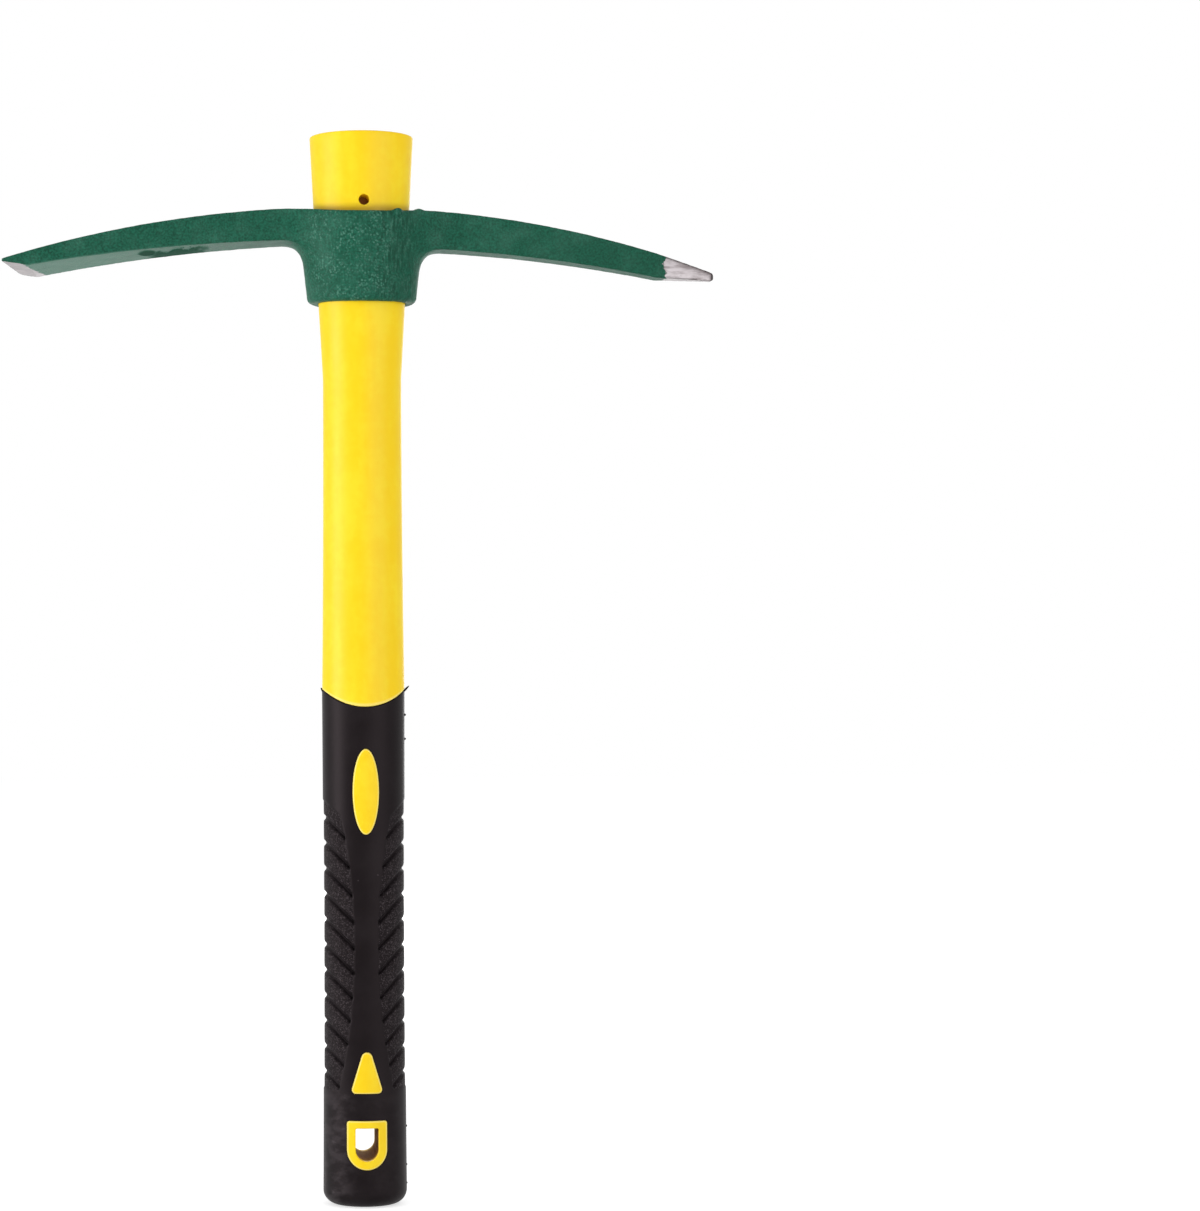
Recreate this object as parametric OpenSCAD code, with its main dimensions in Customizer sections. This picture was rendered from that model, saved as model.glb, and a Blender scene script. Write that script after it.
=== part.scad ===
// Small pick mattock: a forged head with an adze blade and a pick point,
// slipped over a moulded handle from its butt end and wedged on the flared top.
// Millimetres. Z runs up the handle from the butt, X points to the pick, Y to the back.

/* [Handle] */
// Length of the handle from the butt to the top
handle_len = 381; // [350:1:450]
// How far the handle stands out above the eye
top_stand = 27.5; // [20:0.5:36]
// Half width of the handle at its top edge
top_half = 18.5; // [17.8:0.1:20]
// Half width of the handle at the top of the eye
seat_top_half = 17.1; // [16.4:0.1:17.4]
// Half width of the handle at the bottom of the eye
seat_low_half = 15.5; // [15:0.1:16.2]
// Half width of the shaft at its slimmest place
waist_half = 14; // [13.2:0.1:14.3]
// Distance of that slimmest place below the eye
waist_below_eye = 27; // [20:1:45]
// Depth of every section of the handle and eye as a part of its width
oval_share = 0.86; // [0.8:0.01:0.95]
// Rounding of the handle's top edge
top_round = 1.2; // [0.8:0.1:2.5]

/* [Core] */
// Diameter of the fibreglass core
core_d = 15; // [11:0.5:17]
// Solid plastic left above the core
core_top_cover = 5; // [3:0.5:10]
// Solid plastic left between the hanging hole and the core
core_low_cover = 7; // [4:0.5:14]
// Diameter of the hole left by the pin that centred the core in the mould
pin_hole_d = 3.5; // [2:0.1:5]
// Height of that hole's middle above the eye
pin_hole_rise = 3.2; // [3:0.1:8]

/* [Grip] */
// Length of the rubber grip
grip_len = 184; // [176:1:200]
// How much slimmer the grip's ends are than the eye's low end, so that the head slips off
slip_room = 0.6; // [0.5:0.05:1]
// How far the grip draws in between its ends
grip_dip = 0.5; // [0.2:0.05:0.8]
// Least thickness of the rubber
grip_wall = 1.9; // [1.6:0.1:2.4]
// Thickness of the rubber under the butt
butt_wall = 3; // [2:0.5:5]
// Rounding of the butt
butt_round = 5; // [3:0.5:6]
// How far the grip's top edge dips at the front and back
scallop_dip = 6.5; // [4:0.5:9]

/* [Grip pattern] */
// Number of slanting grooves on each side
groove_count = 11; // [9:1:11]
// Distance between grooves along the handle
groove_pitch = 9.07; // [8:0.01:9.2]
// Width of a groove across its run
groove_w = 1.5; // [1:0.1:2]
// Depth of a groove below the pads
groove_depth = 0.7; // [0.4:0.05:0.8]
// Slope of the grooves, in degrees from level
groove_slope = 47; // [40:1:55]
// Height of the lowest groove where it reaches the side
groove_low = 46.9; // [46:0.1:50]
// Half width of the smooth band at its narrowest place
band_half = 4.1; // [3:0.1:5]
// Radius of the curved inner edge of the pads
pad_curve = 230; // [180:5:300]
// How far the pads lie below the smooth rubber
pad_recess = 0.3; // [0.1:0.05:0.4]

/* [Islands] */
// How far the plastic islands stand out of the rubber
island_proud = 0.3; // [0.1:0.05:0.4]
// Height of the middle of the oval island
oval_mid = 147.5; // [144:0.5:152]
// Width of the oval island
oval_w = 9.4; // [7:0.1:11]
// Length of the oval island
oval_len = 30.4; // [24:0.2:34]
// Height of the bottom edge of the three cornered island
wedge_low = 40.6; // [38:0.1:44]
// Width of the three cornered island
wedge_w = 10.8; // [8:0.1:12]
// Length of the three cornered island
wedge_len = 14.7; // [12:0.1:16]
// Rounding of its corners
wedge_round = 1.5; // [0.8:0.1:2]
// Height of the lowest point of the ring round the hanging hole
ring_low = 13.6; // [11:0.1:15]
// Width of the ring
ring_w = 14.3; // [12.5:0.1:16]
// Length of the ring
ring_len = 18; // [17:0.1:20]
// Width of the hanging hole
hang_w = 8.2; // [6:0.1:9]
// Length of the hanging hole
hang_len = 11.7; // [9:0.1:12.2]

/* [Head] */
// Height of the eye
eye_h = 32; // [28:0.5:38]
// Wall of the eye at its bottom edge
eye_low_wall = 3.4; // [2.8:0.1:4.6]
// Wall of the eye at its top edge
eye_top_wall = 5.4; // [4.5:0.1:7]
// Rounding of the eye's edges
eye_round = 1.7; // [1:0.1:2]
// How far the arms rise above the eye where they cross it
arm_rise = 1.6; // [0.5:0.1:3]

/* [Adze] */
// Reach of the adze from the handle's axis
adze_reach = 127; // [110:1:150]
// How far the adze droops from root to edge
adze_drop = 20.6; // [14:0.2:28]
// Thickness of the adze at its root
adze_root_t = 11.2; // [9:0.1:13]
// Thickness of the adze at its end, before grinding
adze_tip_t = 3.5; // [2.8:0.1:5]
// Width of the adze where it leaves the eye
adze_root_w = 16.6; // [14:0.2:20]
// Width of the cutting edge
adze_edge_w = 37.6; // [30:0.2:44]
// How far the back corner of the edge is ground away
adze_skew = 5; // [0:0.5:8]
// Rounding of that corner
adze_corner = 5; // [3:0.5:8]
// Length of the ground bevel under the edge
bevel_len = 10; // [6:0.5:14]
// Thickness left at the cutting edge
edge_t = 0.7; // [0.4:0.1:1.2]
// Length of the rounding under the adze where it meets the eye
adze_fillet_len = 5; // [3:0.1:6]
// Height of that rounding
adze_fillet_h = 9; // [5:0.1:11]
// Rounding at the sides of the adze where it meets the eye
adze_side_fillet = 13; // [9:0.5:16]

/* [Pick] */
// Reach of the pick from the handle's axis
pick_reach = 127; // [110:1:150]
// How far the pick droops from its root to the start of the ground point
pick_drop = 15.4; // [11:0.1:19]
// Thickness of the pick at its root
pick_root_t = 13.7; // [12:0.1:15]
// Thickness of the pick where the ground point starts
pick_point_t = 8.2; // [6:0.1:10]
// Width of the pick where it leaves the eye
pick_root_w = 12.6; // [10:0.2:16]
// Width of the pick where the ground point starts
pick_point_w = 8.8; // [6:0.2:10]
// Length of the ground point
point_len = 21; // [15:0.5:28]
// Thickness of the blunt tip
tip_t = 1.8; // [1:0.1:3]
// How far the top of the point drops to the tip
point_drop = 7; // [5:0.1:8]
// Length of the rounding under the pick where it meets the eye
pick_fillet_len = 6.5; // [4:0.1:8]
// Height of that rounding
pick_fillet_h = 10; // [6:0.1:11]
// Rounding at the sides of the pick where it meets the eye
pick_side_fillet = 5; // [3:0.5:8]

/* [Hidden] */
$fn = 96;
// Gap between the seated eye and the handle
seat_fit = 0.2;
// Gap between pieces that are moulded onto each other
bond_gap = 0.05;
// Overrun of every cut
over = 1;
// Facets of the long curves of the arms
long_fn = 360;
// Steps along a drawn curve
curve_steps = 8;
// Steps round a drawn corner
corner_steps = 6;
// Steps round the oval island
oval_steps = 48;

eye_top_z = handle_len - top_stand;
eye_low_z = eye_top_z - eye_h;
waist_z = eye_low_z - waist_below_eye;
seat_slope = (seat_top_half - seat_low_half) / eye_h;
grip_half = seat_low_half - slip_room;
stem_half = grip_half - grip_dip - grip_wall;
stem_round = oval_share * (grip_half - grip_dip) - grip_wall;
stem_low_z = butt_wall;
body_depth = 2 * oval_share * (top_half + eye_top_wall);

// The scallop is a round cut across the grip that meets its sides just below the top
scallop_land = bond_gap + slip_room;
scallop_rise = scallop_dip - scallop_land;
scallop_r = (grip_half * grip_half + scallop_rise * scallop_rise) / (2 * scallop_rise);
scallop_z = grip_len - scallop_dip + scallop_r;

// The grip is slimmest a little above its middle
dip_share = 0.6;
dip_z = grip_len * dip_share;
dip_run = dip_z - butt_round;

// The pads end a notch's room past the first and last groove
groove_top = groove_low + (groove_count - 1) * groove_pitch;
pad_top_share = 0.7;
pad_low_share = 0.62;
pad_top = groove_top + pad_top_share * groove_pitch;
pad_low = groove_low - pad_low_share * groove_pitch;
pad_mid_share = 0.5;
pad_mid = pad_low + pad_mid_share * (pad_top - pad_low);

ring_top = ring_low + ring_len;
ring_mid = ring_low + ring_w / 2;
ring_round_share = 0.07;
ring_wall_low = (ring_w - hang_w) / 2;
hang_low = ring_low + ring_wall_low;
hang_mid = hang_low + hang_w / 2;
hang_top = hang_low + hang_len;
core_low_z = ring_top + core_low_cover;
core_top_z = handle_len - core_top_cover;
pin_hole_z = eye_top_z + pin_hole_rise;

// Part of its radius over which an arm's side blends into the eye
blend_share = 0.75;
eye_low_half = seat_low_half + seat_fit + eye_low_wall;
eye_top_half = seat_top_half + seat_fit + eye_top_wall;
arm_top_z = eye_top_z + arm_rise;

// Radius of an arc that drops by a given amount over a given run from its level end
function droop_radius(run, drop) = (run * run + drop * drop) / (2 * drop);

// How far such an arc has dropped at a given run
function droop(r, run) = r - sqrt(r * r - run * run);

// Points of an arc
function arc(x, z, r, from, to, steps) = [
    for (i = [0 : steps]) let (t = from + (to - from) * i / steps) [x + r * cos(t), z + r * sin(t)]
];

// Half width of the grip at a height, drawn in by the dip
function grip_half_at(z) = grip_half - grip_dip * (1 - pow((z - dip_z) / dip_run, 2));

// Half width of the shaft between the grip and its waist
function shaft_half_at(z) =
    waist_half + (grip_half - waist_half) * pow((waist_z - z) / (waist_z - grip_len), 2);

// An oval body turned from a half profile, a quarter at a time
module oval_body(points) {
    for (turn = [0, 90, 180, 270])
        scale([1, oval_share, 1])
            rotate([0, 0, turn])
                rotate_extrude(angle = 90)
                    polygon(points);
}

// A flat outline, drawn in X and Z, carried right through the tool along Y
module through(depth = 2 * body_depth) {
    rotate([90, 0, 0])
        linear_extrude(height = depth, center = true)
            children();
}

// The whole shaft, with its flared and rounded top
module shaft() {
    low = grip_len - 2 * scallop_dip;
    top_slope = (top_half - seat_top_half) / top_stand;
    edge_half = top_half - top_slope * top_round;
    oval_body(concat(
        [[0, low], [grip_half, low]],
        [for (i = [0 : curve_steps])
            let (z = grip_len + (waist_z - grip_len) * i / curve_steps) [shaft_half_at(z), z]],
        [[seat_low_half, eye_low_z], [seat_top_half, eye_top_z]],
        arc(edge_half - top_round, handle_len - top_round, top_round, 0, 90, corner_steps),
        [[0, handle_len]]
    ));
}

// The slimmer stem that the rubber is moulded onto, flat at the front and back
module stem(gap = 0) {
    side_x = stem_half - stem_round;
    r = stem_round + gap;
    low = stem_low_z - gap;
    h = grip_len + scallop_dip - low;
    translate([0, 0, low]) {
        for (x = [-side_x, side_x])
            translate([x, 0, 0])
                cylinder(r = r, h = h);
        translate([-side_x, -r, 0])
            cube([2 * side_x, 2 * r, h]);
    }
}

// The outer form of the grip, drawn in by an inset
module grip_form(inset = 0) {
    top = grip_len + over;
    oval_body(concat(
        [[0, inset], [grip_half - butt_round, inset]],
        arc(grip_half - butt_round, butt_round, butt_round - inset, -90, 0, corner_steps),
        [for (i = [1 : curve_steps])
            let (z = butt_round + (top - butt_round) * i / curve_steps) [grip_half_at(z) - inset, z]],
        [[0, top]]
    ));
}

// Outline of the oval island
module oval_outline(grow = 0) {
    polygon([for (i = [0 : oval_steps - 1]) let (t = 360 * i / oval_steps)
        [(oval_w / 2 + grow) * cos(t), oval_mid + (oval_len / 2 + grow) * sin(t)]]);
}

// Outline of the three cornered island, round at each corner
module wedge_outline(grow = 0) {
    foot_x = wedge_w / 2 - wedge_round;
    foot_z = wedge_low + wedge_round;
    peak_z = wedge_low + wedge_len - wedge_round;
    lean = atan2(foot_x, peak_z - foot_z);
    r = wedge_round + grow;
    polygon(concat(
        arc(foot_x, foot_z, r, -90, lean, corner_steps),
        arc(0, peak_z, r, lean, 180 - lean, corner_steps),
        arc(-foot_x, foot_z, r, 180 - lean, 270, corner_steps)
    ));
}

// Outline with a round foot and a flat top, for the ring and its hole
module hang_outline(half, mid, top, corner, grow = 0) {
    translate([0, mid])
        circle(r = half + grow);
    polygon(concat(
        [[-half - grow, mid], [half + grow, mid]],
        arc(half - corner, top - corner, corner + grow, 0, 90, corner_steps),
        arc(corner - half, top - corner, corner + grow, 90, 180, corner_steps)
    ));
}

// Outlines of the three islands
module island_outlines(grow = 0) {
    oval_outline(grow);
    wedge_outline(grow);
    hang_outline(ring_w / 2, ring_mid, ring_top, ring_w * ring_round_share, grow);
}

// The round cut across the top of the grip
module scallop(gap = 0) {
    translate([0, scallop_z])
        circle(r = scallop_r - gap, $fn = long_fn);
}

// The space that the rubber takes up outside the stem
module sleeve_space(gap) {
    low = grip_len - 3 * scallop_dip;
    through()
        difference() {
            translate([-2 * grip_half, low])
                square([4 * grip_half, scallop_z - low]);
            scallop(gap);
        }
}

// One groove of the right hand side, from the smooth band out past the edge
module groove_outline(z) {
    run = 2 * grip_half;
    translate([grip_half, z])
        rotate(groove_slope)
            translate([-run, -groove_w / 2])
                square([2 * run, groove_w]);
}

// The pads of the right hand side, between the smooth band and the edge
module pad_outline() {
    rise = grip_half * tan(groove_slope);
    edge = 2 * grip_half;
    intersection() {
        translate([band_half + pad_curve, pad_mid])
            circle(r = pad_curve, $fn = long_fn);
        polygon([
            [0, pad_low],
            [edge, pad_low],
            [edge, pad_top + rise],
            [grip_half, pad_top],
            [0, pad_top - rise]
        ]);
    }
}

// Both hands of an outline
module both_hands() {
    children();
    mirror([1, 0])
        children();
}

// What is cut from the rubber below the smooth surface: pads, then grooves between them
module grip_pattern() {
    difference() {
        through()
            both_hands()
                pad_outline();
        grip_form(pad_recess);
    }
    difference() {
        through()
            both_hands()
                intersection() {
                    pad_outline();
                    for (i = [0 : groove_count - 1])
                        groove_outline(groove_low + i * groove_pitch);
                }
        grip_form(pad_recess + groove_depth);
    }
}

// Black rubber moulded over the stem, with windows for the islands
module grip_sleeve() {
    color([0.16, 0.14, 0.15])
        difference() {
            grip_form();
            stem(bond_gap);
            through()
                scallop();
            through()
                island_outlines(bond_gap);
            grip_pattern();
        }
}

// The islands, rising from the stem through the rubber
module islands() {
    intersection() {
        grip_form(-island_proud);
        through()
            island_outlines();
    }
}

// The fibreglass core, grown by a gap for the space that holds it
module core_form(gap = 0) {
    translate([0, 0, core_low_z - gap])
        cylinder(d = core_d + 2 * gap, h = core_top_z - core_low_z + 2 * gap);
}

// Holes left by the mould's centring pins, front and back, down to the core
module pin_holes() {
    translate([0, 0, pin_hole_z])
        rotate([90, 0, 0])
            cylinder(d = pin_hole_d, h = body_depth, center = true);
}

// Yellow plastic jacket of the handle
module handle_jacket() {
    color([0.98, 0.82, 0.08])
        difference() {
            union() {
                stem();
                islands();
                difference() {
                    shaft();
                    sleeve_space(bond_gap);
                }
            }
            core_form(bond_gap);
            pin_holes();
            through()
                hang_outline(hang_w / 2, hang_mid, hang_top, hang_w * ring_round_share);
        }
}

// Glass fibre rod inside the jacket
module fibreglass_core() {
    color([0.42, 0.26, 0.12])
        core_form();
}

// Outer form of the eye, with its drafted sides and rounded edges
module eye_form() {
    oval_body(concat(
        [[0, eye_low_z]],
        arc(eye_low_half - eye_round, eye_low_z + eye_round, eye_round, -90, 0, corner_steps),
        arc(eye_top_half - eye_round, eye_top_z - eye_round, eye_round, 0, 90, corner_steps),
        [[0, eye_top_z]]
    ));
}

// Tapered oval bore of the eye, run past both faces on the same slope
module eye_bore() {
    past = arm_rise + over;
    low = seat_low_half + seat_fit;
    top = seat_top_half + seat_fit;
    oval_body([
        [0, eye_low_z - over],
        [low - seat_slope * over, eye_low_z - over],
        [top + seat_slope * past, eye_top_z + past],
        [0, eye_top_z + past]
    ]);
}

// Side view of an arm between a drooping top arc and a drooping lower arc
module arm_side(run, drop, root_t, end_t) {
    top_r = droop_radius(run, drop);
    low_r = droop_radius(run, drop - root_t + end_t);
    intersection() {
        difference() {
            translate([0, arm_top_z - top_r])
                circle(r = top_r, $fn = long_fn);
            translate([0, arm_top_z - root_t - low_r])
                circle(r = low_r, $fn = long_fn);
        }
        translate([0, arm_top_z - drop - root_t])
            square([run, drop + root_t + over]);
    }
}

// One side of an arm in plan, from the axis to its end, with a round blend into the eye
function arm_plan_side(root_half, end_run, end_half, blend) =
    let (
        slope = (end_half - root_half) / (end_run - eye_top_half),
        start = eye_top_half - blend * blend_share,
        start_half = root_half + droop(blend, blend * blend_share)
    ) concat(
        [[0, start_half]],
        [for (i = [0 : curve_steps])
            let (run = start + blend * blend_share * i / curve_steps)
                [run, root_half + slope * (run - eye_top_half) + droop(blend, eye_top_half - run)]],
        [[end_run, end_half]]
    );

// Rounding under an arm, in the corner between its root and the eye
module root_fillet(root_t, run, h) {
    top = arm_top_z - root_t;
    low = top - h;
    side = eye_low_half + (eye_top_half - eye_low_half) * (low - eye_low_z) / eye_h;
    polygon(concat(
        [[side - run, low]],
        [for (p = arc(0, 0, 1, 180, 90, curve_steps)) [side + run + run * p[0], low + h * p[1]]],
        [[side + run, top + run], [side - run, top + run]]
    ));
}

// Adze blade, drawn along +X
module adze_arm() {
    edge_half = adze_edge_w / 2;
    edge_z = arm_top_z - adze_drop;
    side = arm_plan_side(adze_root_w / 2, adze_reach, edge_half, adze_side_fillet);
    back_x = adze_reach - adze_skew;
    bevel_rise = adze_tip_t * bevel_len / (bevel_len + adze_tip_t);
    bevel_tilt = atan2(bevel_rise, bevel_len);
    skew_turn = atan2(adze_skew, adze_edge_w);
    difference() {
        intersection() {
            translate([0, 0, eye_low_z])
                linear_extrude(height = 2 * eye_h)
                    polygon(concat(
                        side,
                        arc(back_x - adze_corner, adze_corner - edge_half, adze_corner, 0, -90, corner_steps),
                        [for (i = [len(side) - 2 : -1 : 0]) [side[i][0], -side[i][1]]]
                    ));
            through()
                arm_side(adze_reach, adze_drop, adze_root_t, adze_tip_t);
        }
        translate([adze_reach - adze_skew / 2, 0, edge_z - edge_t])
            rotate([0, -bevel_tilt, -skew_turn])
                translate([-2 * bevel_len, -adze_edge_w, -2 * adze_root_t])
                    cube([4 * bevel_len, 2 * adze_edge_w, 2 * adze_root_t]);
    }
    through(adze_root_w)
        root_fillet(adze_root_t, adze_fillet_len, adze_fillet_h);
}

// Pick, drawn along +X, with its ground point
module pick_arm() {
    start = pick_reach - point_len;
    side = arm_plan_side(pick_root_w / 2, start, pick_point_w / 2, pick_side_fillet);
    top_z = arm_top_z - pick_drop;
    low_z = top_z - pick_point_t;
    intersection() {
        translate([0, 0, eye_low_z - eye_h])
            linear_extrude(height = 3 * eye_h)
                polygon(concat(
                    side,
                    [[pick_reach, tip_t / 2], [pick_reach, -tip_t / 2]],
                    [for (i = [len(side) - 1 : -1 : 0]) [side[i][0], -side[i][1]]]
                ));
        through() {
            arm_side(start, pick_drop, pick_root_t, pick_point_t);
            polygon([
                [start - point_len, top_z - pick_point_t / 2],
                [start, low_z],
                [pick_reach, top_z - point_drop - tip_t],
                [pick_reach, top_z - point_drop],
                [start, top_z]
            ]);
        }
    }
    through(pick_root_w)
        root_fillet(pick_root_t, pick_fillet_len, pick_fillet_h);
}

// Forged steel head: eye, adze and pick in one piece
module forged_head() {
    color([0.14, 0.39, 0.31])
        difference() {
            union() {
                eye_form();
                pick_arm();
                rotate([0, 0, 180])
                    adze_arm();
            }
            eye_bore();
        }
}

forged_head();
handle_jacket();
fibreglass_core();
grip_sleeve();
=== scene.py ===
"""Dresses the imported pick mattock: a painted forging on a moulded handle with a ribbed rubber grip."""

import math

import bmesh
import bpy
import numpy as np
from bpy.props import FloatProperty, FloatVectorProperty, IntProperty, PointerProperty
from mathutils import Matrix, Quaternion, Vector


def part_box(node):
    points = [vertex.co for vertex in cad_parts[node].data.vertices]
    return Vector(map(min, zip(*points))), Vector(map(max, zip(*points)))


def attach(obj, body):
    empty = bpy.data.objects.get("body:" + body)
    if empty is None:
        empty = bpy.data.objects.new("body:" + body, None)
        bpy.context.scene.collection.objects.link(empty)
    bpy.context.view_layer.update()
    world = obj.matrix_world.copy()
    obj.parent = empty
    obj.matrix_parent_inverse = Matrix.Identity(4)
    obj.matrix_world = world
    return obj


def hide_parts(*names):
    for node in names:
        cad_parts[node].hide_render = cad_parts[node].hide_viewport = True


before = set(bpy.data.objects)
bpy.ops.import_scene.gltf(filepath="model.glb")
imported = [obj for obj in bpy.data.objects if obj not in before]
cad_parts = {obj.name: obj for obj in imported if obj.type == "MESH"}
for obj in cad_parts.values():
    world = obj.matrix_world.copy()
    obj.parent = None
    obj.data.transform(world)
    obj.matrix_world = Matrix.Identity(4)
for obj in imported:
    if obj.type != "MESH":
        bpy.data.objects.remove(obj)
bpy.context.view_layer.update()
HEAD_LOW, HEAD_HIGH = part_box("forged_head")
_, HANDLE_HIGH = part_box("handle_jacket")
CORE_LOW, CORE_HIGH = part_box("fibreglass_core")

bl_info = {
    "name": "Pick mattock",
    "version": (1, 0, 0),
    "blender": (4, 5, 0),
    "location": "3D View > Sidebar > Mattock",
    "description": "Makes a painted pick mattock with a moulded handle and a rubber grip",
    "category": "Add Mesh",
}

MM = 0.001
# Size of the photograph in pixels, and width of the camera's sensor in millimetres
PHOTO_W, PHOTO_H = 1200, 1211
SENSOR = 36.0
# Places of the lumps of paint on the eye's rim, the last number being the height above its middle
LUMPS = ((12.0 * MM, -16.4 * MM, -0.4 * MM), (19.8 * MM, -9.0 * MM, 0.3 * MM))
# Thick paint under the adze: middle and half size of its blotch, ends and front of its trail
BLOTCH_X, BLOTCH_Y = -76.6 * MM, -3.0 * MM
BLOTCH_HALF_X, BLOTCH_HALF_Y = 3.2 * MM, 7.0 * MM
TRAIL_START, TRAIL_END, TRAIL_FRONT = -77.0 * MM, -53.0 * MM, -4.5 * MM
# How far from the handle's axis the eye's rougher skin reaches, and where it has faded
EYE_SKIN, EYE_FADED = 15.0 * MM, 23.0 * MM
# Painted shade in the hanging hole: how far it spreads round the hole, and how far from the middle it
# ends and is full
HOLE_SHADE_EDGE, HOLE_SHADE_MOUTH, HOLE_SHADE_DEEP = 0.2 * MM, 13.0 * MM, 8.5 * MM
# How far the head's top may stand above the eye's rim, and the size of the rounding there
RIM_LIFT, RIM_BLEND = 0.3 * MM, 2.5 * MM
# Lengths over which the burnt ridge and the burnt tip fade
RIDGE_FADE, TIP_FADE = 2.0 * MM, 1.4 * MM
# Tread in parts of its pitch: the two sides of a groove, a pad's middle, and the end of the last pad
GROOVE_RISE, GROOVE_FALL = (0.05, 0.16), (0.87, 0.985)
PAD_MIDDLE, PAD_END = 0.52, (-0.27, -0.33)
# Threads of flash on the grip's top edge: side, and reach outwards and upwards as parts of the flash
THREADS = ((1, 0.8, 0.8), (-1, 0.15, 0.5))
# Steps of the grip's mesh along the handle, where it is plain and on the tread
PLAIN_STEP, TREAD_STEP = 1.2 * MM, 0.36 * MM
# Points round the rings of the grip, the handle and the core's bore, and round an island
GRIP_COLUMNS, SHAFT_COLUMNS, BORE_COLUMNS, ISLAND_POINTS = 216, 180, 96, 144
# Angles of a rounded edge
QUARTER = np.radians(np.linspace(0, 90, 7))
# The head's grid in cells: its margins, the step for slopes, and how far a point may leave the middle
GRID_BEFORE, GRID_AFTER, SLOPE_STEP, POINT_SHIFT = 2.37, 3, 0.1, 0.75
# How strongly a point of that mesh is held to the middle of its crossings
MIDDLE_PULL = 0.05


# Properties

def size(name, millimetres, description):
    """A length that a user can change."""
    return FloatProperty(name=name, description=description, default=millimetres * MM,
                         unit="LENGTH", precision=5)


def share(name, default, description):
    """A plain number that a user can change."""
    return FloatProperty(name=name, description=description, default=default, precision=4)


def turn(name, degrees, description):
    """An angle that a user can change."""
    return FloatProperty(name=name, description=description, default=math.radians(degrees),
                         subtype="ANGLE")


def colour(name, red, green, blue, description):
    """A colour that a user can change, given as screen values from 0 to 255."""
    levels = [level / 255 for level in (red, green, blue)]
    linear = [v / 12.92 if v <= 0.04045 else ((v + 0.055) / 1.055) ** 2.4 for v in levels]
    return FloatVectorProperty(name=name, description=description, default=linear, size=3,
                               min=0, max=1, subtype="COLOR")


class HandleShape(bpy.types.PropertyGroup):
    """Sizes and colours of the moulded handle and its core."""

    oval_share: share("Oval share", 0.86, "Depth of every section as a part of its width")
    top_half: size("Top half width", 18.5, "Half width at the top edge")
    top_round: size("Top rounding", 0.5, "Rounding of the top edge")
    top_stand: size("Top stand", 27.5, "How far the handle stands out above the eye")
    seat_top_half: size("Seat top half width", 17.1, "Half width at the top of the eye")
    seat_low_half: size("Seat low half width", 15.5, "Half width at the bottom of the eye")
    waist_half: size("Waist half width", 14.0, "Half width at the slimmest place")
    waist_below_eye: size("Waist drop", 27.0, "Distance of the slimmest place below the eye")
    lip_round: size("Lip rounding", 0.6, "Rounding of the edge that meets the rubber")
    lip_gap: size("Lip gap", 0.12, "Gap between that edge and the rubber")
    stem_half: size("Stem half width", 12.4, "Half width of the stem inside the rubber")
    stem_depth: size("Stem half depth", 10.35, "Half depth of the stem inside the rubber")
    pin_hole_d: size("Pin hole", 3.8, "Diameter of the hole left by the mould's centring pin")
    pin_hole_rise: size("Pin hole height", 3.2, "Height of that hole above the eye")
    core_gap: size("Core gap", 0.05, "Gap round the core")
    # Painted shade: the plastic is darkened just above the eye and down inside it, where the head shades
    # it
    seat_shade_len: size("Seat shade", 3.2, "How far the grime reaches up from the eye")
    seat_shade_rise: size("Grime rise", 1.0, "How much higher it reaches at the sides")
    seat_shade_under: size("Seat shade under the eye", 12.0, "How far the grime reaches down inside the eye")
    plastic: colour("Plastic", 251, 210, 3, "Colour of the moulded plastic")
    plastic_pale: colour("Pale plastic", 253, 220, 30, "Colour of its paler flow marks")
    # Colour of the painted shade where the eye meets the handle
    plastic_seat_shade: colour("Seat shade", 192, 152, 10, "Colour of the plastic where the eye chafes it")
    # Colour of the painted shade on the walls of the hanging hole
    plastic_hole_shade: colour("Hole shade", 150, 98, 6, "Colour of the plastic deep in the hanging hole")
    # Painted highlight: the pale colour on the rounded edges stands in for light caught there
    plastic_edge_highlight: colour("Plastic edge highlight", 255, 238, 140, "Colour of its rubbed edges")
    fibre: colour("Fibre", 190, 130, 52, "Colour of the resin bonded fibre")


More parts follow.
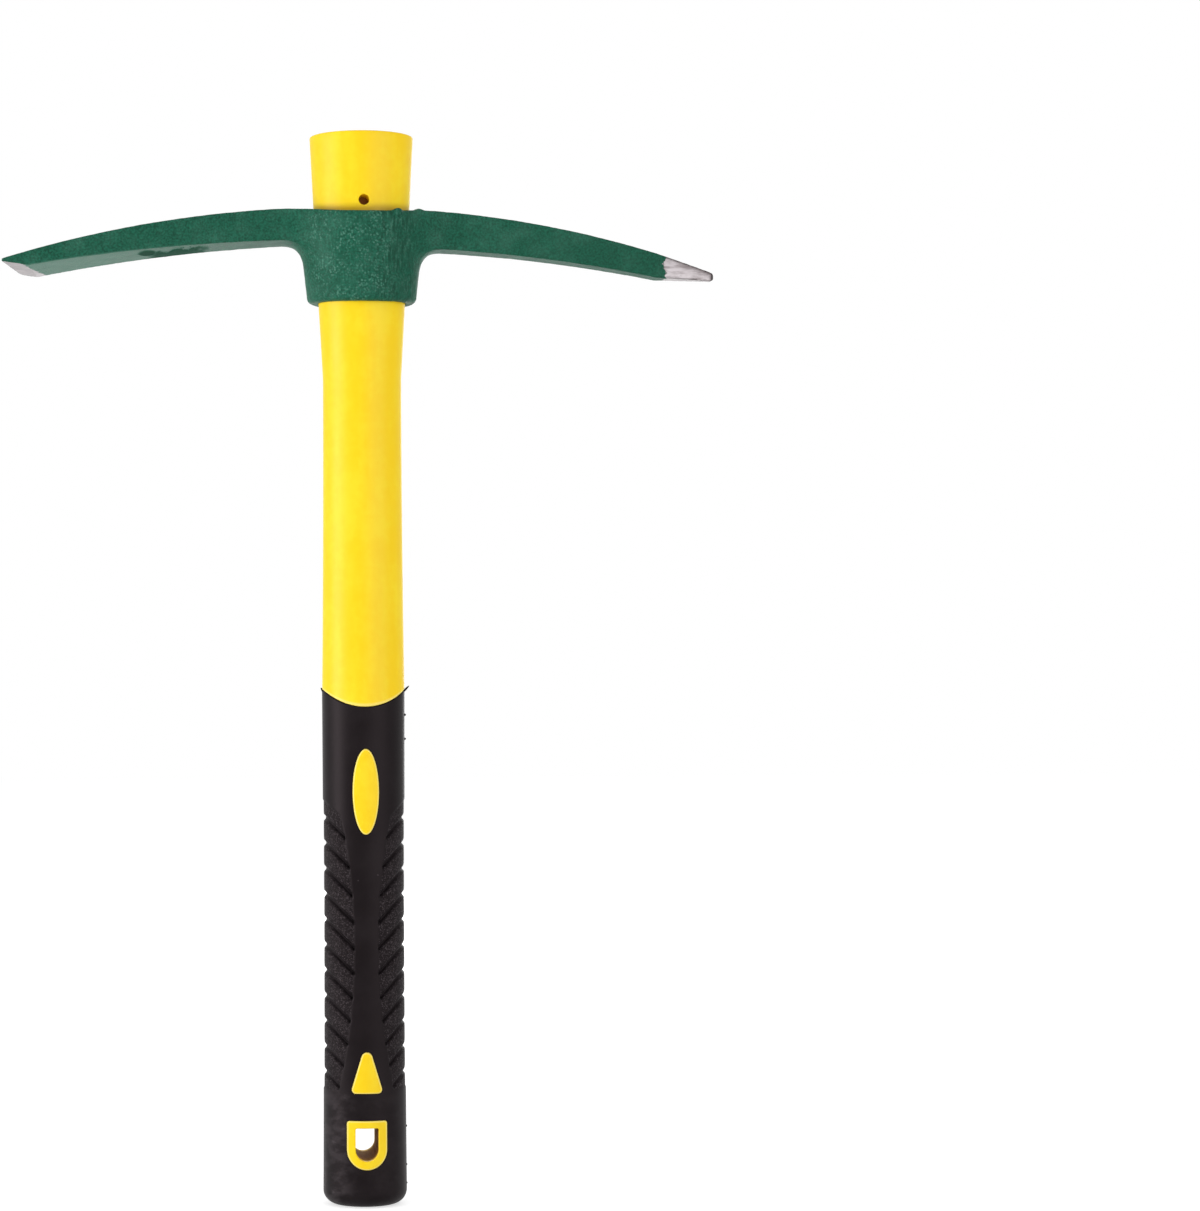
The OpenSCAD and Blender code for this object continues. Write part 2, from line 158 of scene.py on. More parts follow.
class GripShape(bpy.types.PropertyGroup):
    """Sizes and colours of the rubber grip and of the islands that show through it."""

    length: size("Length", 184.0, "Length of the grip at its sides")
    half: size("Half width", 14.9, "Half width at the ends")
    dip: size("Dip", 0.35, "How far the grip draws in between its ends")
    dip_share: share("Dip height", 0.6, "Height of the slimmest place as a part of the length")
    butt_round: size("Butt rounding", 5.0, "Rounding of the butt")
    butt_wall: size("Butt wall", 3.0, "Thickness of the rubber under the butt")
    scallop_dip: size("Scallop dip", 6.5, "How far the top edge dips at the front and back")
    scallop_land: size("Scallop land", 0.65, "How far below the top the dip starts at the sides")
    lip_round: size("Lip rounding", 0.45, "Rounding of the top edge")
    grooves: IntProperty(name="Grooves", description="Grooves on each side", default=11)
    pitch: size("Groove pitch", 9.07, "Distance between grooves along the handle")
    groove_low: size("Lowest groove", 47.4, "Height of the lowest groove at the side")
    groove_depth: size("Groove depth", 1.05, "Depth of a groove below the pads")
    slope: turn("Groove slope", 43.5, "Slope of the grooves from level")
    recess: size("Pad recess", 0.3, "How far the pads lie below the smooth rubber")
    pillow: size("Pad crown", 0.22, "How far each pad swells in its middle")
    pad_low: size("Pad foot", 41.3, "Height of the lower end of the pads")
    band_half: size("Band half width", 4.1, "Half width of the smooth band at its narrowest")
    band_mid: size("Band middle", 92.6, "Height of the narrowest place of the band")
    band_curve: size("Band curve", 230.0, "Radius of the curved edge of the band")
    parting: size("Parting line", 0.09, "Height of the mould's parting line along each side")
    flash: size("Flash", 1.9, "Length of the thread of flash on the top edge")
    nub: size("Nub", 0.6, "Size of the nubs left on the parting line")
    nubs: FloatVectorProperty(name="Nub heights", description="Heights of those nubs", size=5,
                              default=[z * MM for z in (174.5, 165.9, 27.3, 13.5, 6.9)],
                              unit="LENGTH", precision=5)
    window_gap: size("Window gap", 0.14, "Gap between the rubber and an island")
    island_proud: size("Island height", 0.3, "How far the islands stand out of the rubber")
    island_round: size("Island rounding", 0.55, "Rounding of the islands' edges")
    oval_mid: size("Oval middle", 147.5, "Height of the middle of the oval island")
    oval_w: size("Oval width", 9.4, "Width of the oval island")
    oval_len: size("Oval length", 30.4, "Length of the oval island")
    wedge_low: size("Wedge foot", 40.6, "Height of the foot of the three cornered island")
    wedge_w: size("Wedge width", 10.8, "Width of the three cornered island")
    wedge_len: size("Wedge length", 14.7, "Length of the three cornered island")
    wedge_round: size("Wedge corners", 1.5, "Rounding of its lower corners")
    wedge_tip: size("Wedge tip", 2.0, "Rounding of its upper corner")
    ring_low: size("Ring foot", 13.6, "Height of the foot of the ring")
    ring_w: size("Ring width", 14.3, "Width of the ring round the hanging hole")
    ring_len: size("Ring length", 17.4, "Length of the ring")
    ring_corner: size("Ring corners", 1.0, "Rounding of the ring's two corners")
    hang_w: size("Hole width", 8.2, "Width of the hanging hole")
    hang_len: size("Hole length", 11.7, "Length of the hanging hole")
    hang_corner: size("Hole corners", 0.57, "Rounding of the hole's two corners")
    scuff_top: size("Scuff height", 46.0, "Height at which the scuffs above the butt end")
    scuff_fade: size("Scuff fading", 10.0, "Height over which they fade")
    rubber: colour("Rubber", 9, 6, 7, "Colour of the rubber")
    # Also the colour of the painted glints on the pads
    scuff_and_glint: colour("Scuff", 84, 77, 80, "Colour of scuffed rubber")


class HeadShape(bpy.types.PropertyGroup):
    """Sizes and colours of the forged head."""

    cell: size("Mesh size", 0.5, "Size of the mesh")
    eye_low_wall: size("Eye wall at the bottom", 3.7, "Wall of the eye at its bottom edge")
    eye_top_wall: size("Eye wall at the top", 5.4, "Wall of the eye at its top edge")
    eye_round: size("Eye rounding", 1.7, "Rounding of the eye's edges")
    seat_fit: size("Seat gap", 0.2, "Gap between the seated eye and the handle")
    rim_round: size("Rim rounding", 0.25, "Rounding of the bore's rims")
    eye_sink: size("Eye sink", 1.1, "How far the eye's top edge lies below its seat at the front")
    eye_rise: size("Eye rise", 1.9, "How far that edge rises from the front to the arms")
    eye_fall: size("Eye fall", 0.95, "How far the bottom edge rises from the front to the sides")
    adze_lift: size("Adze lift", 0.55, "How far the adze's back stands up")
    pick_lift: size("Pick lift", 0.25, "How far the pick's back stands up")
    edge_round: size("Edge rounding", 0.9, "Rounding of the arms' long edges")
    adze_drop: size("Adze droop", 20.6, "How far the adze droops from root to edge")
    adze_root_t: size("Adze root", 11.2, "Thickness of the adze at its root")
    adze_tip_t: size("Adze end", 3.5, "Thickness of the adze at its end before grinding")
    adze_root_w: size("Adze root width", 16.6, "Width of the adze where it leaves the eye")
    adze_edge_w: size("Adze edge width", 37.6, "Width of the cutting edge")
    adze_skew: size("Adze skew", 5.0, "How far the back corner of the edge is ground away")
    adze_corner: size("Adze corner", 5.0, "Rounding of that corner")
    adze_blend: size("Adze blend", 9.0, "Size of the rounding between the adze and the eye")
    bevel_len: size("Bevel", 9.0, "Length of the ground bevel under the edge")
    edge_t: size("Edge", 0.6, "Thickness left at the cutting edge")
    pick_drop: size("Pick droop", 15.4, "How far the pick droops from root to point")
    pick_root_t: size("Pick root", 13.7, "Thickness of the pick at its root")
    pick_point_t: size("Pick end", 8.6, "Thickness of the pick where the point starts")
    pick_root_w: size("Pick root width", 12.6, "Width of the pick where it leaves the eye")
    pick_point_w: size("Pick end width", 8.8, "Width of the pick where the point starts")
    pick_blend: size("Pick blend", 8.5, "Size of the rounding between the pick and the eye")
    point_len: size("Point", 21.0, "Length of the ground point")
    point_drop: size("Point drop", 6.7, "How far the top of the point drops to the tip")
    tip_t: size("Tip", 2.7, "Thickness of the blunt tip")
    lump_r: size("Paint lump", 1.4, "Radius of the lumps of paint on the eye's top edge")
    bevel_paint: size("Paint on the bevel", 0.8, "How far the paint reaches over the bevel")
    point_paint: size("Paint on the point", 2.5, "How far the paint reaches over the point")
    ridge_burn: size("Burnt ridge", 1.6, "How far the burnt ridge of the point reaches down")
    ridge_grow: size("Burnt ridge growth", 0.9, "How much further it reaches down at the tip")
    tip_burn: size("Burnt tip", 2.2, "How far the burnt tip reaches back")
    edge_burn: size("Burnt edge", 0.8, "Width of the burnt line along the cutting edge")
    grain: size("Grain", 1.6, "Size of the forging's grain")
    grain_height: size("Grain height", 0.16, "Height of the forging's grain")
    paint: colour("Paint", 30, 99, 77, "Colour of the paint")
    # Also the colour of the painted glints on the eye and the painted reflection under the adze
    paint_pale_and_sheen: colour("Pale paint", 108, 164, 144, "Colour of the paint on high spots")
    # Also the colour of the painted shade on the side of the eye and pick turned from the light
    paint_dark_and_shade: colour("Dark paint", 15, 66, 49, "Colour of the paint in the pits")
    steel: colour("Steel", 167, 161, 163, "Colour of the bare ground steel")
    steel_dull: colour("Dull steel", 112, 105, 106, "Colour of the duller steel")
    scale: colour("Burnt steel", 52, 44, 44, "Colour of the burnt streaks in the steel")


class StageShape(bpy.types.PropertyGroup):
    """Camera, light and floor."""

    azimuth: turn("Azimuth", -3.6, "Angle of the camera round the handle")
    distance: size("Distance", 1040.0, "Distance of the camera from the handle's axis")
    height: size("Height", 191.3, "Height of the camera")
    focal: share("Focal length", 2905.0, "Focal length in pixels of the photograph")
    axis_u: share("Axis across", 363.2, "Where the handle's axis stands, in pixels from the left")
    axis_v: share("Height down", 668.0, "Where the camera's height lies, in pixels from the top")
    roll: share("Roll", -0.0040, "Roll of the camera in radians")
    floor_size: size("Floor", 8000.0, "Size of the floor")
    floor_gap: size("Floor gap", 0.2, "How far the floor lies below the butt")
    floor: colour("Floor", 236, 236, 236, "Colour of the floor")
    ambient: share("Ambient", 0.5, "Light from all sides")
    floor_glow: share("Floor glow", 0.58, "What brings the floor up to white in the picture")
    lamp_far: size("Lamp distance", 1400.0, "Distance of the lamps from the handle's axis")
    key_power: share("Key light", 12.5, "Power of the key light in watts")
    key_size: size("Key size", 560.0, "Size of the key light")
    key_turn: turn("Key angle", -71.0, "Angle of the key light from the front")
    key_rise: size("Key rise", 60.0, "Height of the key light above the camera")
    fill_power: share("Fill light", 9.0, "Power of the fill light in watts")
    fill_size: size("Fill size", 1000.0, "Size of the fill light")
    fill_turn: turn("Fill angle", 36.0, "Angle of the fill light from the front")
    fill_rise: size("Fill rise", 160.0, "Height of the fill light above the camera")
    back_power: share("Back light", 7.0, "Power of the back light in watts")
    back_turn: turn("Back angle", 168.0, "Angle of the back light from the front")


# Node trees

class Wire:
    """A node's output that grows maths nodes when it is calculated with."""

    def __init__(self, tree, socket):
        self.tree, self.socket = tree, socket

    def maths(self, operation, *values):
        node = add_node(self.tree, "ShaderNodeMath", operation=operation)
        for slot, value in zip(node.inputs, (self, *values)):
            plug(slot, value)
        return Wire(self.tree, node.outputs[0])

    def __add__(self, other):
        return self.maths("ADD", other)

    def __sub__(self, other):
        return self.maths("SUBTRACT", other)

    def __mul__(self, other):
        return self.maths("MULTIPLY", other)

    def __truediv__(self, other):
        return self.maths("DIVIDE", other)

    def flipped(self):
        """One minus the value."""
        return self.maths("MULTIPLY_ADD", -1.0, 1.0)

    def ramp(self, low, high):
        """Rises smoothly from 0 to 1 between two values."""
        node = add_node(self.tree, "ShaderNodeMapRange", interpolation_type="SMOOTHSTEP")
        for slot, value in zip(node.inputs, (self, low, high, 0.0, 1.0)):
            plug(slot, value)
        return Wire(self.tree, node.outputs[0])

    def parts(self):
        """The three parts of a vector."""
        node = add_node(self.tree, "ShaderNodeSeparateXYZ")
        plug(node.inputs[0], self)
        return [Wire(self.tree, out) for out in node.outputs]

    def stretched(self, *factors):
        """A vector with each part multiplied."""
        node = add_node(self.tree, "ShaderNodeVectorMath", operation="MULTIPLY")
        plug(node.inputs[0], self)
        node.inputs[1].default_value = factors
        return Wire(self.tree, node.outputs[0])


def add_node(tree, kind, **settings):
    """A new node with its settings."""
    node = tree.nodes.new(kind)
    for name, value in settings.items():
        setattr(node, name, value)
    return node


def plug(slot, value):
    """Links a wire to a socket, or sets the socket's own value."""
    if isinstance(value, Wire):
        value.tree.links.new(value.socket, slot)
    else:
        slot.default_value = value


def noise(where, grain, detail=2.0, seed=0.0):
    """Soft noise from 0 to 1 with spots of a given size."""
    node = add_node(where.tree, "ShaderNodeTexNoise", noise_dimensions="4D")
    scale = grain.maths("POWER", -1.0) if isinstance(grain, Wire) else 1.0 / grain
    for name, value in (("Vector", where), ("W", seed), ("Scale", scale), ("Detail", detail)):
        plug(node.inputs[name], value)
    return Wire(where.tree, node.outputs["Fac"])


def dots(where, spacing, radius):
    """Scattered dots from 0 to 1, the radius being a part of the spacing."""
    node = add_node(where.tree, "ShaderNodeTexVoronoi")
    plug(node.inputs["Vector"], where)
    node.inputs["Scale"].default_value = 1.0 / spacing
    return Wire(where.tree, node.outputs["Distance"]).ramp(radius, 0.4 * radius)


def blend_colours(factor, low, high):
    """A colour between two colours, each a colour or a wire."""
    node = add_node(factor.tree, "ShaderNodeMix", data_type="RGBA")
    plug(node.inputs["Factor"], factor)
    for slot, value in zip((node.inputs[6], node.inputs[7]), (low, high)):
        plug(slot, value if isinstance(value, Wire) else (*value, 1.0))
    return Wire(factor.tree, node.outputs[2])


def bump(height, depth, under=None):
    """A surface normal roughened by a height from 0 to 1."""
    node = add_node(height.tree, "ShaderNodeBump")
    plug(node.inputs["Height"], height)
    node.inputs["Distance"].default_value = depth
    if under:
        plug(node.inputs["Normal"], under)
    return Wire(height.tree, node.outputs["Normal"])


def attribute(tree, name):
    """A named number carried by the mesh."""
    if tree.type == "GEOMETRY":
        node = add_node(tree, "GeometryNodeInputNamedAttribute", data_type="FLOAT")
        node.inputs["Name"].default_value = name
        return Wire(tree, node.outputs["Attribute"])
    node = add_node(tree, "ShaderNodeAttribute", attribute_name=name)
    return Wire(tree, node.outputs["Fac"])


def open_tree(name, thing, values):
    """A geometry node tree with an input for each named value, and wires from its inputs."""
    kinds = {int: "Int", float: "Float", bpy.types.Material: "Material"}
    tree = bpy.data.node_groups.new(name, "GeometryNodeTree")
    for way in ("INPUT", "OUTPUT"):
        tree.interface.new_socket(thing, in_out=way, socket_type="NodeSocketGeometry")
    for label, value in values.items():
        kind = kinds[type(value)]
        tree.interface.new_socket(label, in_out="INPUT", socket_type=f"NodeSocket{kind}")
    start = add_node(tree, "NodeGroupInput")
    return tree, {slot.name: Wire(tree, slot) for slot in start.outputs}


def close_tree(tree, geometry, rise, material):
    """Moves points along their normals, makes the result real and gives it its material."""
    push = add_node(tree, "ShaderNodeVectorMath", operation="SCALE")
    plug(push.inputs[0], Wire(tree, add_node(tree, "GeometryNodeInputNormal").outputs[0]))
    plug(push.inputs["Scale"], rise)
    move = add_node(tree, "GeometryNodeSetPosition")
    plug(move.inputs["Geometry"], geometry)
    plug(move.inputs["Offset"], Wire(tree, push.outputs[0]))
    real = add_node(tree, "GeometryNodeRealizeInstances")
    plug(real.inputs[0], Wire(tree, move.outputs[0]))
    finish = add_node(tree, "GeometryNodeSetMaterial")
    plug(finish.inputs["Geometry"], Wire(tree, real.outputs[0]))
    plug(finish.inputs["Material"], material)
    plug(add_node(tree, "NodeGroupOutput").inputs[0], Wire(tree, finish.outputs[0]))
    return tree


def new_material(name):
    """A material with its shader's sockets and its object coordinates."""
    material = bpy.data.materials.new(name)
    material.use_nodes = True
    tree = material.node_tree
    sockets = tree.nodes["Principled BSDF"].inputs
    where = Wire(tree, add_node(tree, "ShaderNodeTexCoord").outputs["Object"])
    return material, sockets, where


# Materials

def paint_run(where):
    """A blotch of thick paint and its ragged trail, on the underside of the adze."""
    x, y, _ = where.parts()
    rough = noise(where.stretched(1.0, 0.25, 0.25), 3.5 * MM, 3.0, seed=31.0)
    run, aside = (x - BLOTCH_X) / BLOTCH_HALF_X, (y - BLOTCH_Y) / BLOTCH_HALF_Y
    blotch = (run * run + aside * aside + rough).ramp(1.7, 0.9)
    wander = x + (rough - 0.5) * (12 * MM)
    trail = x.ramp(TRAIL_START, TRAIL_START + 4 * MM) * wander.ramp(TRAIL_END, TRAIL_END - 5 * MM)
    ragged = (y + (rough - 0.5) * (36 * MM)).ramp(TRAIL_FRONT, TRAIL_FRONT + 2.5 * MM)
    return blotch, trail * ragged


def paint_material(head):
    """Green paint over a rough forging, ground away to bare steel at the edge and the point."""
    material, sockets, where = new_material("forging_paint")
    tree = where.tree
    x, _, _ = where.parts()
    under = attribute(tree, "under")
    eye = x.maths("ABSOLUTE").ramp(EYE_FADED, EYE_SKIN)
    eye_left, eye_right = x.ramp(12 * MM, 3 * MM), x.ramp(2 * MM, 8 * MM)
    adze, adze_end = x.ramp(0.0, -10 * MM), x.ramp(-30 * MM, -110 * MM)
    pits = noise(where, 0.7 * MM, 3.0)
    patches = noise(where, 8 * MM, 3.0, seed=4.0)
    # Painted highlights: pale specks, crowded on the eye and its left side, stand in for glints on rough
    # paint; they also raise the bump
    crowd = noise(where, 5 * MM, 2.0, seed=15.0).ramp(0.34, 0.6) * (eye * 0.85 + 0.15)
    crowd = crowd * (eye_left * 0.65 + 0.35)
    glint_specks = dots(where, 0.9 * MM, 0.6) * noise(where, 1.3 * MM, 2.0).ramp(0.36, 0.6) * crowd
    worm = noise(where.stretched(1.0, 1.0, 0.2), 0.85 * MM, 2.0, seed=21.0)
    worms = noise(where, 5 * MM, 1.0, seed=23.0).ramp(0.35, 0.55)
    worms = (eye_right * 0.7 + 0.3) * eye * worms
    blotch, trail = paint_run(where)
    smudge = blotch.maths("MAXIMUM", trail * 0.85) * under

    ragged = (noise(where, 2.2 * MM, 3.0, seed=2.0) - 0.5) * (9 * MM)
    bare = (attribute(tree, "ground") + ragged).ramp(-0.15 * MM, 0.15 * MM)
    streak = noise(where.stretched(0.2, 1.0, 1.0), 1.5 * MM, 4.0, seed=6.0)
    burn = noise(where, 5 * MM, 3.0, seed=12.0).ramp(0.46, 0.7) * streak.ramp(0.5, 0.66)
    scorch = attribute(tree, "scorch") * (streak * 0.8 + 0.5)

    green = blend_colours(pits.ramp(0.3, 0.7), head.paint_dark_and_shade, head.paint)
    # Painted shade: the paint darkens on the right of the eye and along the pick, the side turned from
    # the light
    painted_shade_side = x.ramp(6 * MM, 13 * MM) * eye * 0.3 + x.ramp(30 * MM, 95 * MM) * 0.35
    for cover, tone in (
        (patches.ramp(0.4, 0.8) * 0.12, head.paint_pale_and_sheen),
        (worm.ramp(0.52, 0.4) * worms * 0.95, head.paint_dark_and_shade),
        (worm.ramp(0.56, 0.66) * worms * 0.2, head.paint_pale_and_sheen),
        # Painted highlights: the glint specks
        (glint_specks * 0.44, head.paint_pale_and_sheen),
        # Painted reflection: the underside pales towards the adze's end, standing in for the bright floor
        # mirrored there
        (under * adze_end * 0.3, head.paint_pale_and_sheen),
        # Painted shade on the right of the eye and along the pick
        (painted_shade_side, head.paint_dark_and_shade),
        (scorch * adze * 0.8, head.paint_dark_and_shade),
        (smudge * 0.9, head.paint_dark_and_shade),
    ):
        green = blend_colours(cover, green, tone)
    steel = blend_colours(streak.ramp(0.3, 0.62), head.steel_dull, head.steel)
    steel = blend_colours((burn * 0.8).maths("MAXIMUM", scorch), steel, head.scale)
    plug(sockets["Base Color"], blend_colours(bare, green, steel))
    plug(sockets["Metallic"], bare * 0.85)
    plug(sockets["Roughness"], (pits * 0.2 + 0.46) + bare * (streak * 0.2 - 0.22) + smudge * 0.5)
    relief = (pits + glint_specks * 0.5 + worm * worms * 2.0) * bare.flipped() + streak * bare * 0.4
    plug(sockets["Normal"], bump(relief, 0.2 * MM))
    sockets["Specular IOR Level"].default_value = 0.12
    return material


def plastic_material(handle, grip):
    """Smooth yellow plastic with faint flow marks, painted highlights on rounded edges, and painted shade
    at the eye and in the hole.
    """
    material, sockets, where = new_material("jacket_plastic")
    x, y, z = where.parts()
    flow = noise(where.stretched(1.0, 1.0, 0.16), 6 * MM, 3.0, seed=3.0)
    cloud = noise(where, 14 * MM, 2.0, seed=5.0)
    fine = noise(where.stretched(1.0, 1.0, 0.3), 0.5 * MM, 2.0, seed=7.0)
    mottle = noise(where, 2.6 * MM, 3.0, seed=11.0)
    tint = blend_colours((flow * 0.4 + cloud * 0.35 + mottle * 0.25).ramp(0.4, 0.64),
                         handle.plastic, handle.plastic_pale)
    # Painted highlight: the rounded edges of the lip and the islands are made paler
    tint = blend_colours(attribute(where.tree, "edge") * 0.6, tint, handle.plastic_edge_highlight)
    # Painted shade: darker towards the eye's top edge, and down inside the eye
    above = z - x * x * (handle.seat_shade_rise / handle.seat_top_half ** 2) - seat_top(handle)
    seat_shade = above.ramp(0.88 * handle.seat_shade_len, -0.12 * handle.seat_shade_len)
    seat_shade = seat_shade * above.ramp(-handle.seat_shade_under, -handle.seat_shade_under / 3)
    tint = blend_colours(seat_shade * (mottle * 0.3 + 0.8), tint, handle.plastic_seat_shade)
    hole_half = grip.hang_w / 2
    hole_mid = grip.ring_low + grip.ring_w / 2
    hole_top = grip.ring_low + (grip.ring_w - grip.hang_w) / 2 + grip.hang_len
    below = (z - hole_mid).maths("MINIMUM", 0.0)
    across = (x * x + below * below).maths("SQRT")
    # Painted shade: the hanging hole's walls are painted brown, as yellow plastic in shade
    hole_shade = across.ramp(hole_half + HOLE_SHADE_EDGE, hole_half + HOLE_SHADE_EDGE / 4)
    hole_shade = hole_shade * z.ramp(hole_top + HOLE_SHADE_EDGE, hole_top)
    hole_shade = hole_shade * y.maths("ABSOLUTE").ramp(HOLE_SHADE_MOUTH, HOLE_SHADE_DEEP)
    tint = blend_colours(hole_shade * (mottle * 0.3 + 0.8), tint, handle.plastic_hole_shade)
    plug(sockets["Base Color"], tint)
    plug(sockets["Roughness"], (cloud * 0.14 + 0.4) + hole_shade * 0.4)
    plug(sockets["Normal"], bump(fine * 0.4 + flow * 0.6, 0.03 * MM))
    sockets["Specular IOR Level"].default_value = 0.28
    return material


def rubber_material(grip):
    """Satin black rubber, sand textured and with painted glints on the pads, scuffed towards the butt."""
    material, sockets, where = new_material("grip_rubber")
    pad = attribute(where.tree, "pad")
    x, _, height = where.parts()
    sand = noise(where, 0.4 * MM, 2.0)
    # Painted highlights: pale glints scattered over the pads' sand
    glint = noise(where, 0.34 * MM, 1.0, seed=3.0).ramp(0.5, 0.7) * pad
    cloud = noise(where, 11 * MM, 3.0, seed=5.0)
    rub = noise(where.stretched(1.0, 1.0, 1.5), 5 * MM, 4.0, seed=8.0).ramp(0.4, 0.66)
    low = height.ramp(grip.scuff_top, grip.scuff_top - grip.scuff_fade)
    worn = rub * low * (x.ramp(-3 * MM, -9 * MM) * 0.85 + 0.15)
    nick = noise(where.stretched(1.0, 1.0, 2.4), 3.2 * MM, 4.0, seed=18.0).ramp(0.56, 0.7)
    worn = worn * (nick * 0.5 + 0.5)
    dust = noise(where, 1.6 * MM, 0.0, seed=17.0).ramp(0.83, 0.87)
    tint = blend_colours(cloud.ramp(0.35, 0.8) * 0.06, grip.rubber, grip.scuff_and_glint)
    # Scuffs and dust, and the painted glints on the pads
    tint = blend_colours(worn * 0.5 + glint * 0.65 + dust * 0.5, tint, grip.scuff_and_glint)
    plug(sockets["Base Color"], tint)
    plug(sockets["Roughness"], (cloud * 0.12 + 0.4) + pad * 0.16 + worn * 0.06)
    relief = sand * pad + worn * 0.5 + cloud * 0.3
    plug(sockets["Normal"], bump(relief, 0.22 * MM))
    sockets["Specular IOR Level"].default_value = 0.13
    sockets["Specular Tint"].default_value = (1.0, 0.82, 0.87, 1.0)
    return material


def fibre_material(handle):
    """Brown resin with long glass fibres."""
    material, sockets, where = new_material("core_fibre")
    strands = noise(where.stretched(1.0, 1.0, 0.03), 0.35 * MM, 3.0)
    dark = [level * 0.5 for level in handle.fibre]
    plug(sockets["Base Color"], blend_colours(strands, dark, handle.fibre))
    plug(sockets["Roughness"], strands * 0.2 + 0.45)
    plug(sockets["Normal"], bump(strands, 0.05 * MM))
    return material


# Meshes

def place(name, data, location=(0, 0, 0), turned=None):
    """A new object in the scene."""
    thing = bpy.data.objects.new(name, data)
    thing.location = location
    if turned is not None:
        thing.rotation_mode = "QUATERNION"
        thing.rotation_quaternion = turned
    bpy.context.scene.collection.objects.link(thing)
    return thing


def add_object(name, points, faces, **marks):
    """A closed mesh object with its faces pointing outwards and named numbers on its points."""
    mesh = bpy.data.meshes.new(name)
    mesh.from_pydata(np.asarray(points).tolist(), [], faces)
    shape = bmesh.new()
    shape.from_mesh(mesh)
    bmesh.ops.recalc_face_normals(shape, faces=shape.faces)
    shape.to_mesh(mesh)
    shape.free()
    for mark, values in marks.items():
        mesh.attributes.new(mark, "FLOAT", "POINT").data.foreach_set("value", values)
    return place(name, mesh)


def rings_mesh(rings):
    """Points and faces of a closed skin through rings of equal count, with a fan at each end."""
    rings = np.asarray(rings)
    count, columns = rings.shape[:2]
    points = np.concatenate([rings.reshape(-1, 3), rings[[0, -1]].mean(axis=1)])
    first, last = count * columns, count * columns + 1
    faces = []
    for row in range(count - 1):
        for i in range(columns):
            j = (i + 1) % columns
            a, b = row * columns, (row + 1) * columns
            faces.append((a + i, a + j, b + j, b + i))
    for i in range(columns):
        j = (i + 1) % columns
        faces.append((j, i, first))
        faces.append(((count - 1) * columns + i, (count - 1) * columns + j, last))
    return points, faces


def ring_marks(rings, first, last):
    """Numbers for the points of a closed skin: 1 on some of its rings, 0 on the others."""
    columns = len(rings[0])
    values = np.zeros(len(rings) * columns + 2)
    values[first * columns:last * columns] = 1.0
    return values


def swap_mesh(thing, mesh):
    """Gives an object a new mesh and drops its modifiers."""
    old = thing.data
    thing.modifiers.clear()
    thing.data = mesh
    bpy.data.meshes.remove(old)


def evaluated_mesh(thing):
    """A plain mesh of an object with its modifiers applied."""
    graph = bpy.context.evaluated_depsgraph_get()
    return bpy.data.meshes.new_from_object(thing.evaluated_get(graph))


def combine(thing, other, operation):
    """Adds another closed object to this one, or cuts it away, and deletes it."""
    step = thing.modifiers.new("combine", "BOOLEAN")
    step.object, step.operation, step.solver = other, operation, "MANIFOLD"
    mesh = evaluated_mesh(thing)
    if not mesh.polygons:
        raise RuntimeError(f"{operation} of {other.name} left nothing of {thing.name}")
    swap_mesh(thing, mesh)
    spare = other.data
    bpy.data.objects.remove(other)
    bpy.data.meshes.remove(spare)


def grow_nodes(thing, tree, values):
    """Runs a geometry node tree on an object and keeps the result as a plain mesh."""
    step = thing.modifiers.new(tree.name, "NODES")
    step.node_group = tree
    for item in tree.interface.items_tree:
        if item.in_out == "INPUT" and item.name in values:
            step[item.identifier] = values[item.name]
    swap_mesh(thing, evaluated_mesh(thing))


def shade(thing, sharp_degrees):
    """Smooth shading with sharp edges past an angle."""
    thing.data.shade_smooth()
    thing.data.set_sharp_from_angle(angle=math.radians(sharp_degrees))


def dress(thing, material, body, node):
    """Gives a finished piece its material and its place in the frame."""
    thing.data.materials.clear()
    thing.data.materials.append(material)
    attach(thing, body)
    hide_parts(node)


# Handle and grip

def seat_top(handle):
    """Height of the top of the eye's seat."""
    return HANDLE_HIGH.z - handle.top_stand


def ring_angles(columns):
    """Angles of the points round a ring."""
    return np.arange(columns) * math.tau / columns


def oval_ring(half, height, columns, share_y):
    """One oval ring, whose half width and height may change along it."""
    angle = ring_angles(columns)
    half = np.broadcast_to(half, columns)
    height = np.broadcast_to(height, columns)
    return np.stack([half * np.cos(angle), half * share_y * np.sin(angle), height], axis=1)


def grip_half_at(grip, z):
    """Half width of the grip at a height."""
    dip_z = grip.length * grip.dip_share
    return grip.half - grip.dip * (1 - ((z - dip_z) / (dip_z - grip.butt_round)) ** 2)


def shaft_half_at(handle, grip, z):
    """Half width of the handle above the grip at a height."""
    waist_z = HEAD_LOW.z - handle.waist_below_eye
    low = handle.waist_half + (grip_half_at(grip, grip.length) - handle.waist_half) * (
        (waist_z - z) / (waist_z - grip.length)) ** 2
    levels = [waist_z, HEAD_LOW.z, seat_top(handle), HANDLE_HIGH.z]
    halves = [handle.waist_half, handle.seat_low_half, handle.seat_top_half, handle.top_half]
    return np.where(z < waist_z, low, np.interp(z, levels, halves))


def scallop_at(grip, x):
    """Height of the edge between the rubber and the plastic at a place across the handle."""
    rise = grip.scallop_dip - grip.scallop_land
    radius = (grip.half ** 2 + rise ** 2) / (2 * rise)
    fall = np.sqrt(radius ** 2 - np.minimum(x * x, grip.half ** 2))
    return grip.length - grip.scallop_dip + radius - fall


def arc(x, z, radius, start, end, steps=8):
    """Points of an arc, with its angles in degrees."""
    angles = np.radians(np.linspace(start, end, steps + 1))
    return np.stack([x + radius * np.cos(angles), z + radius * np.sin(angles)], axis=1)


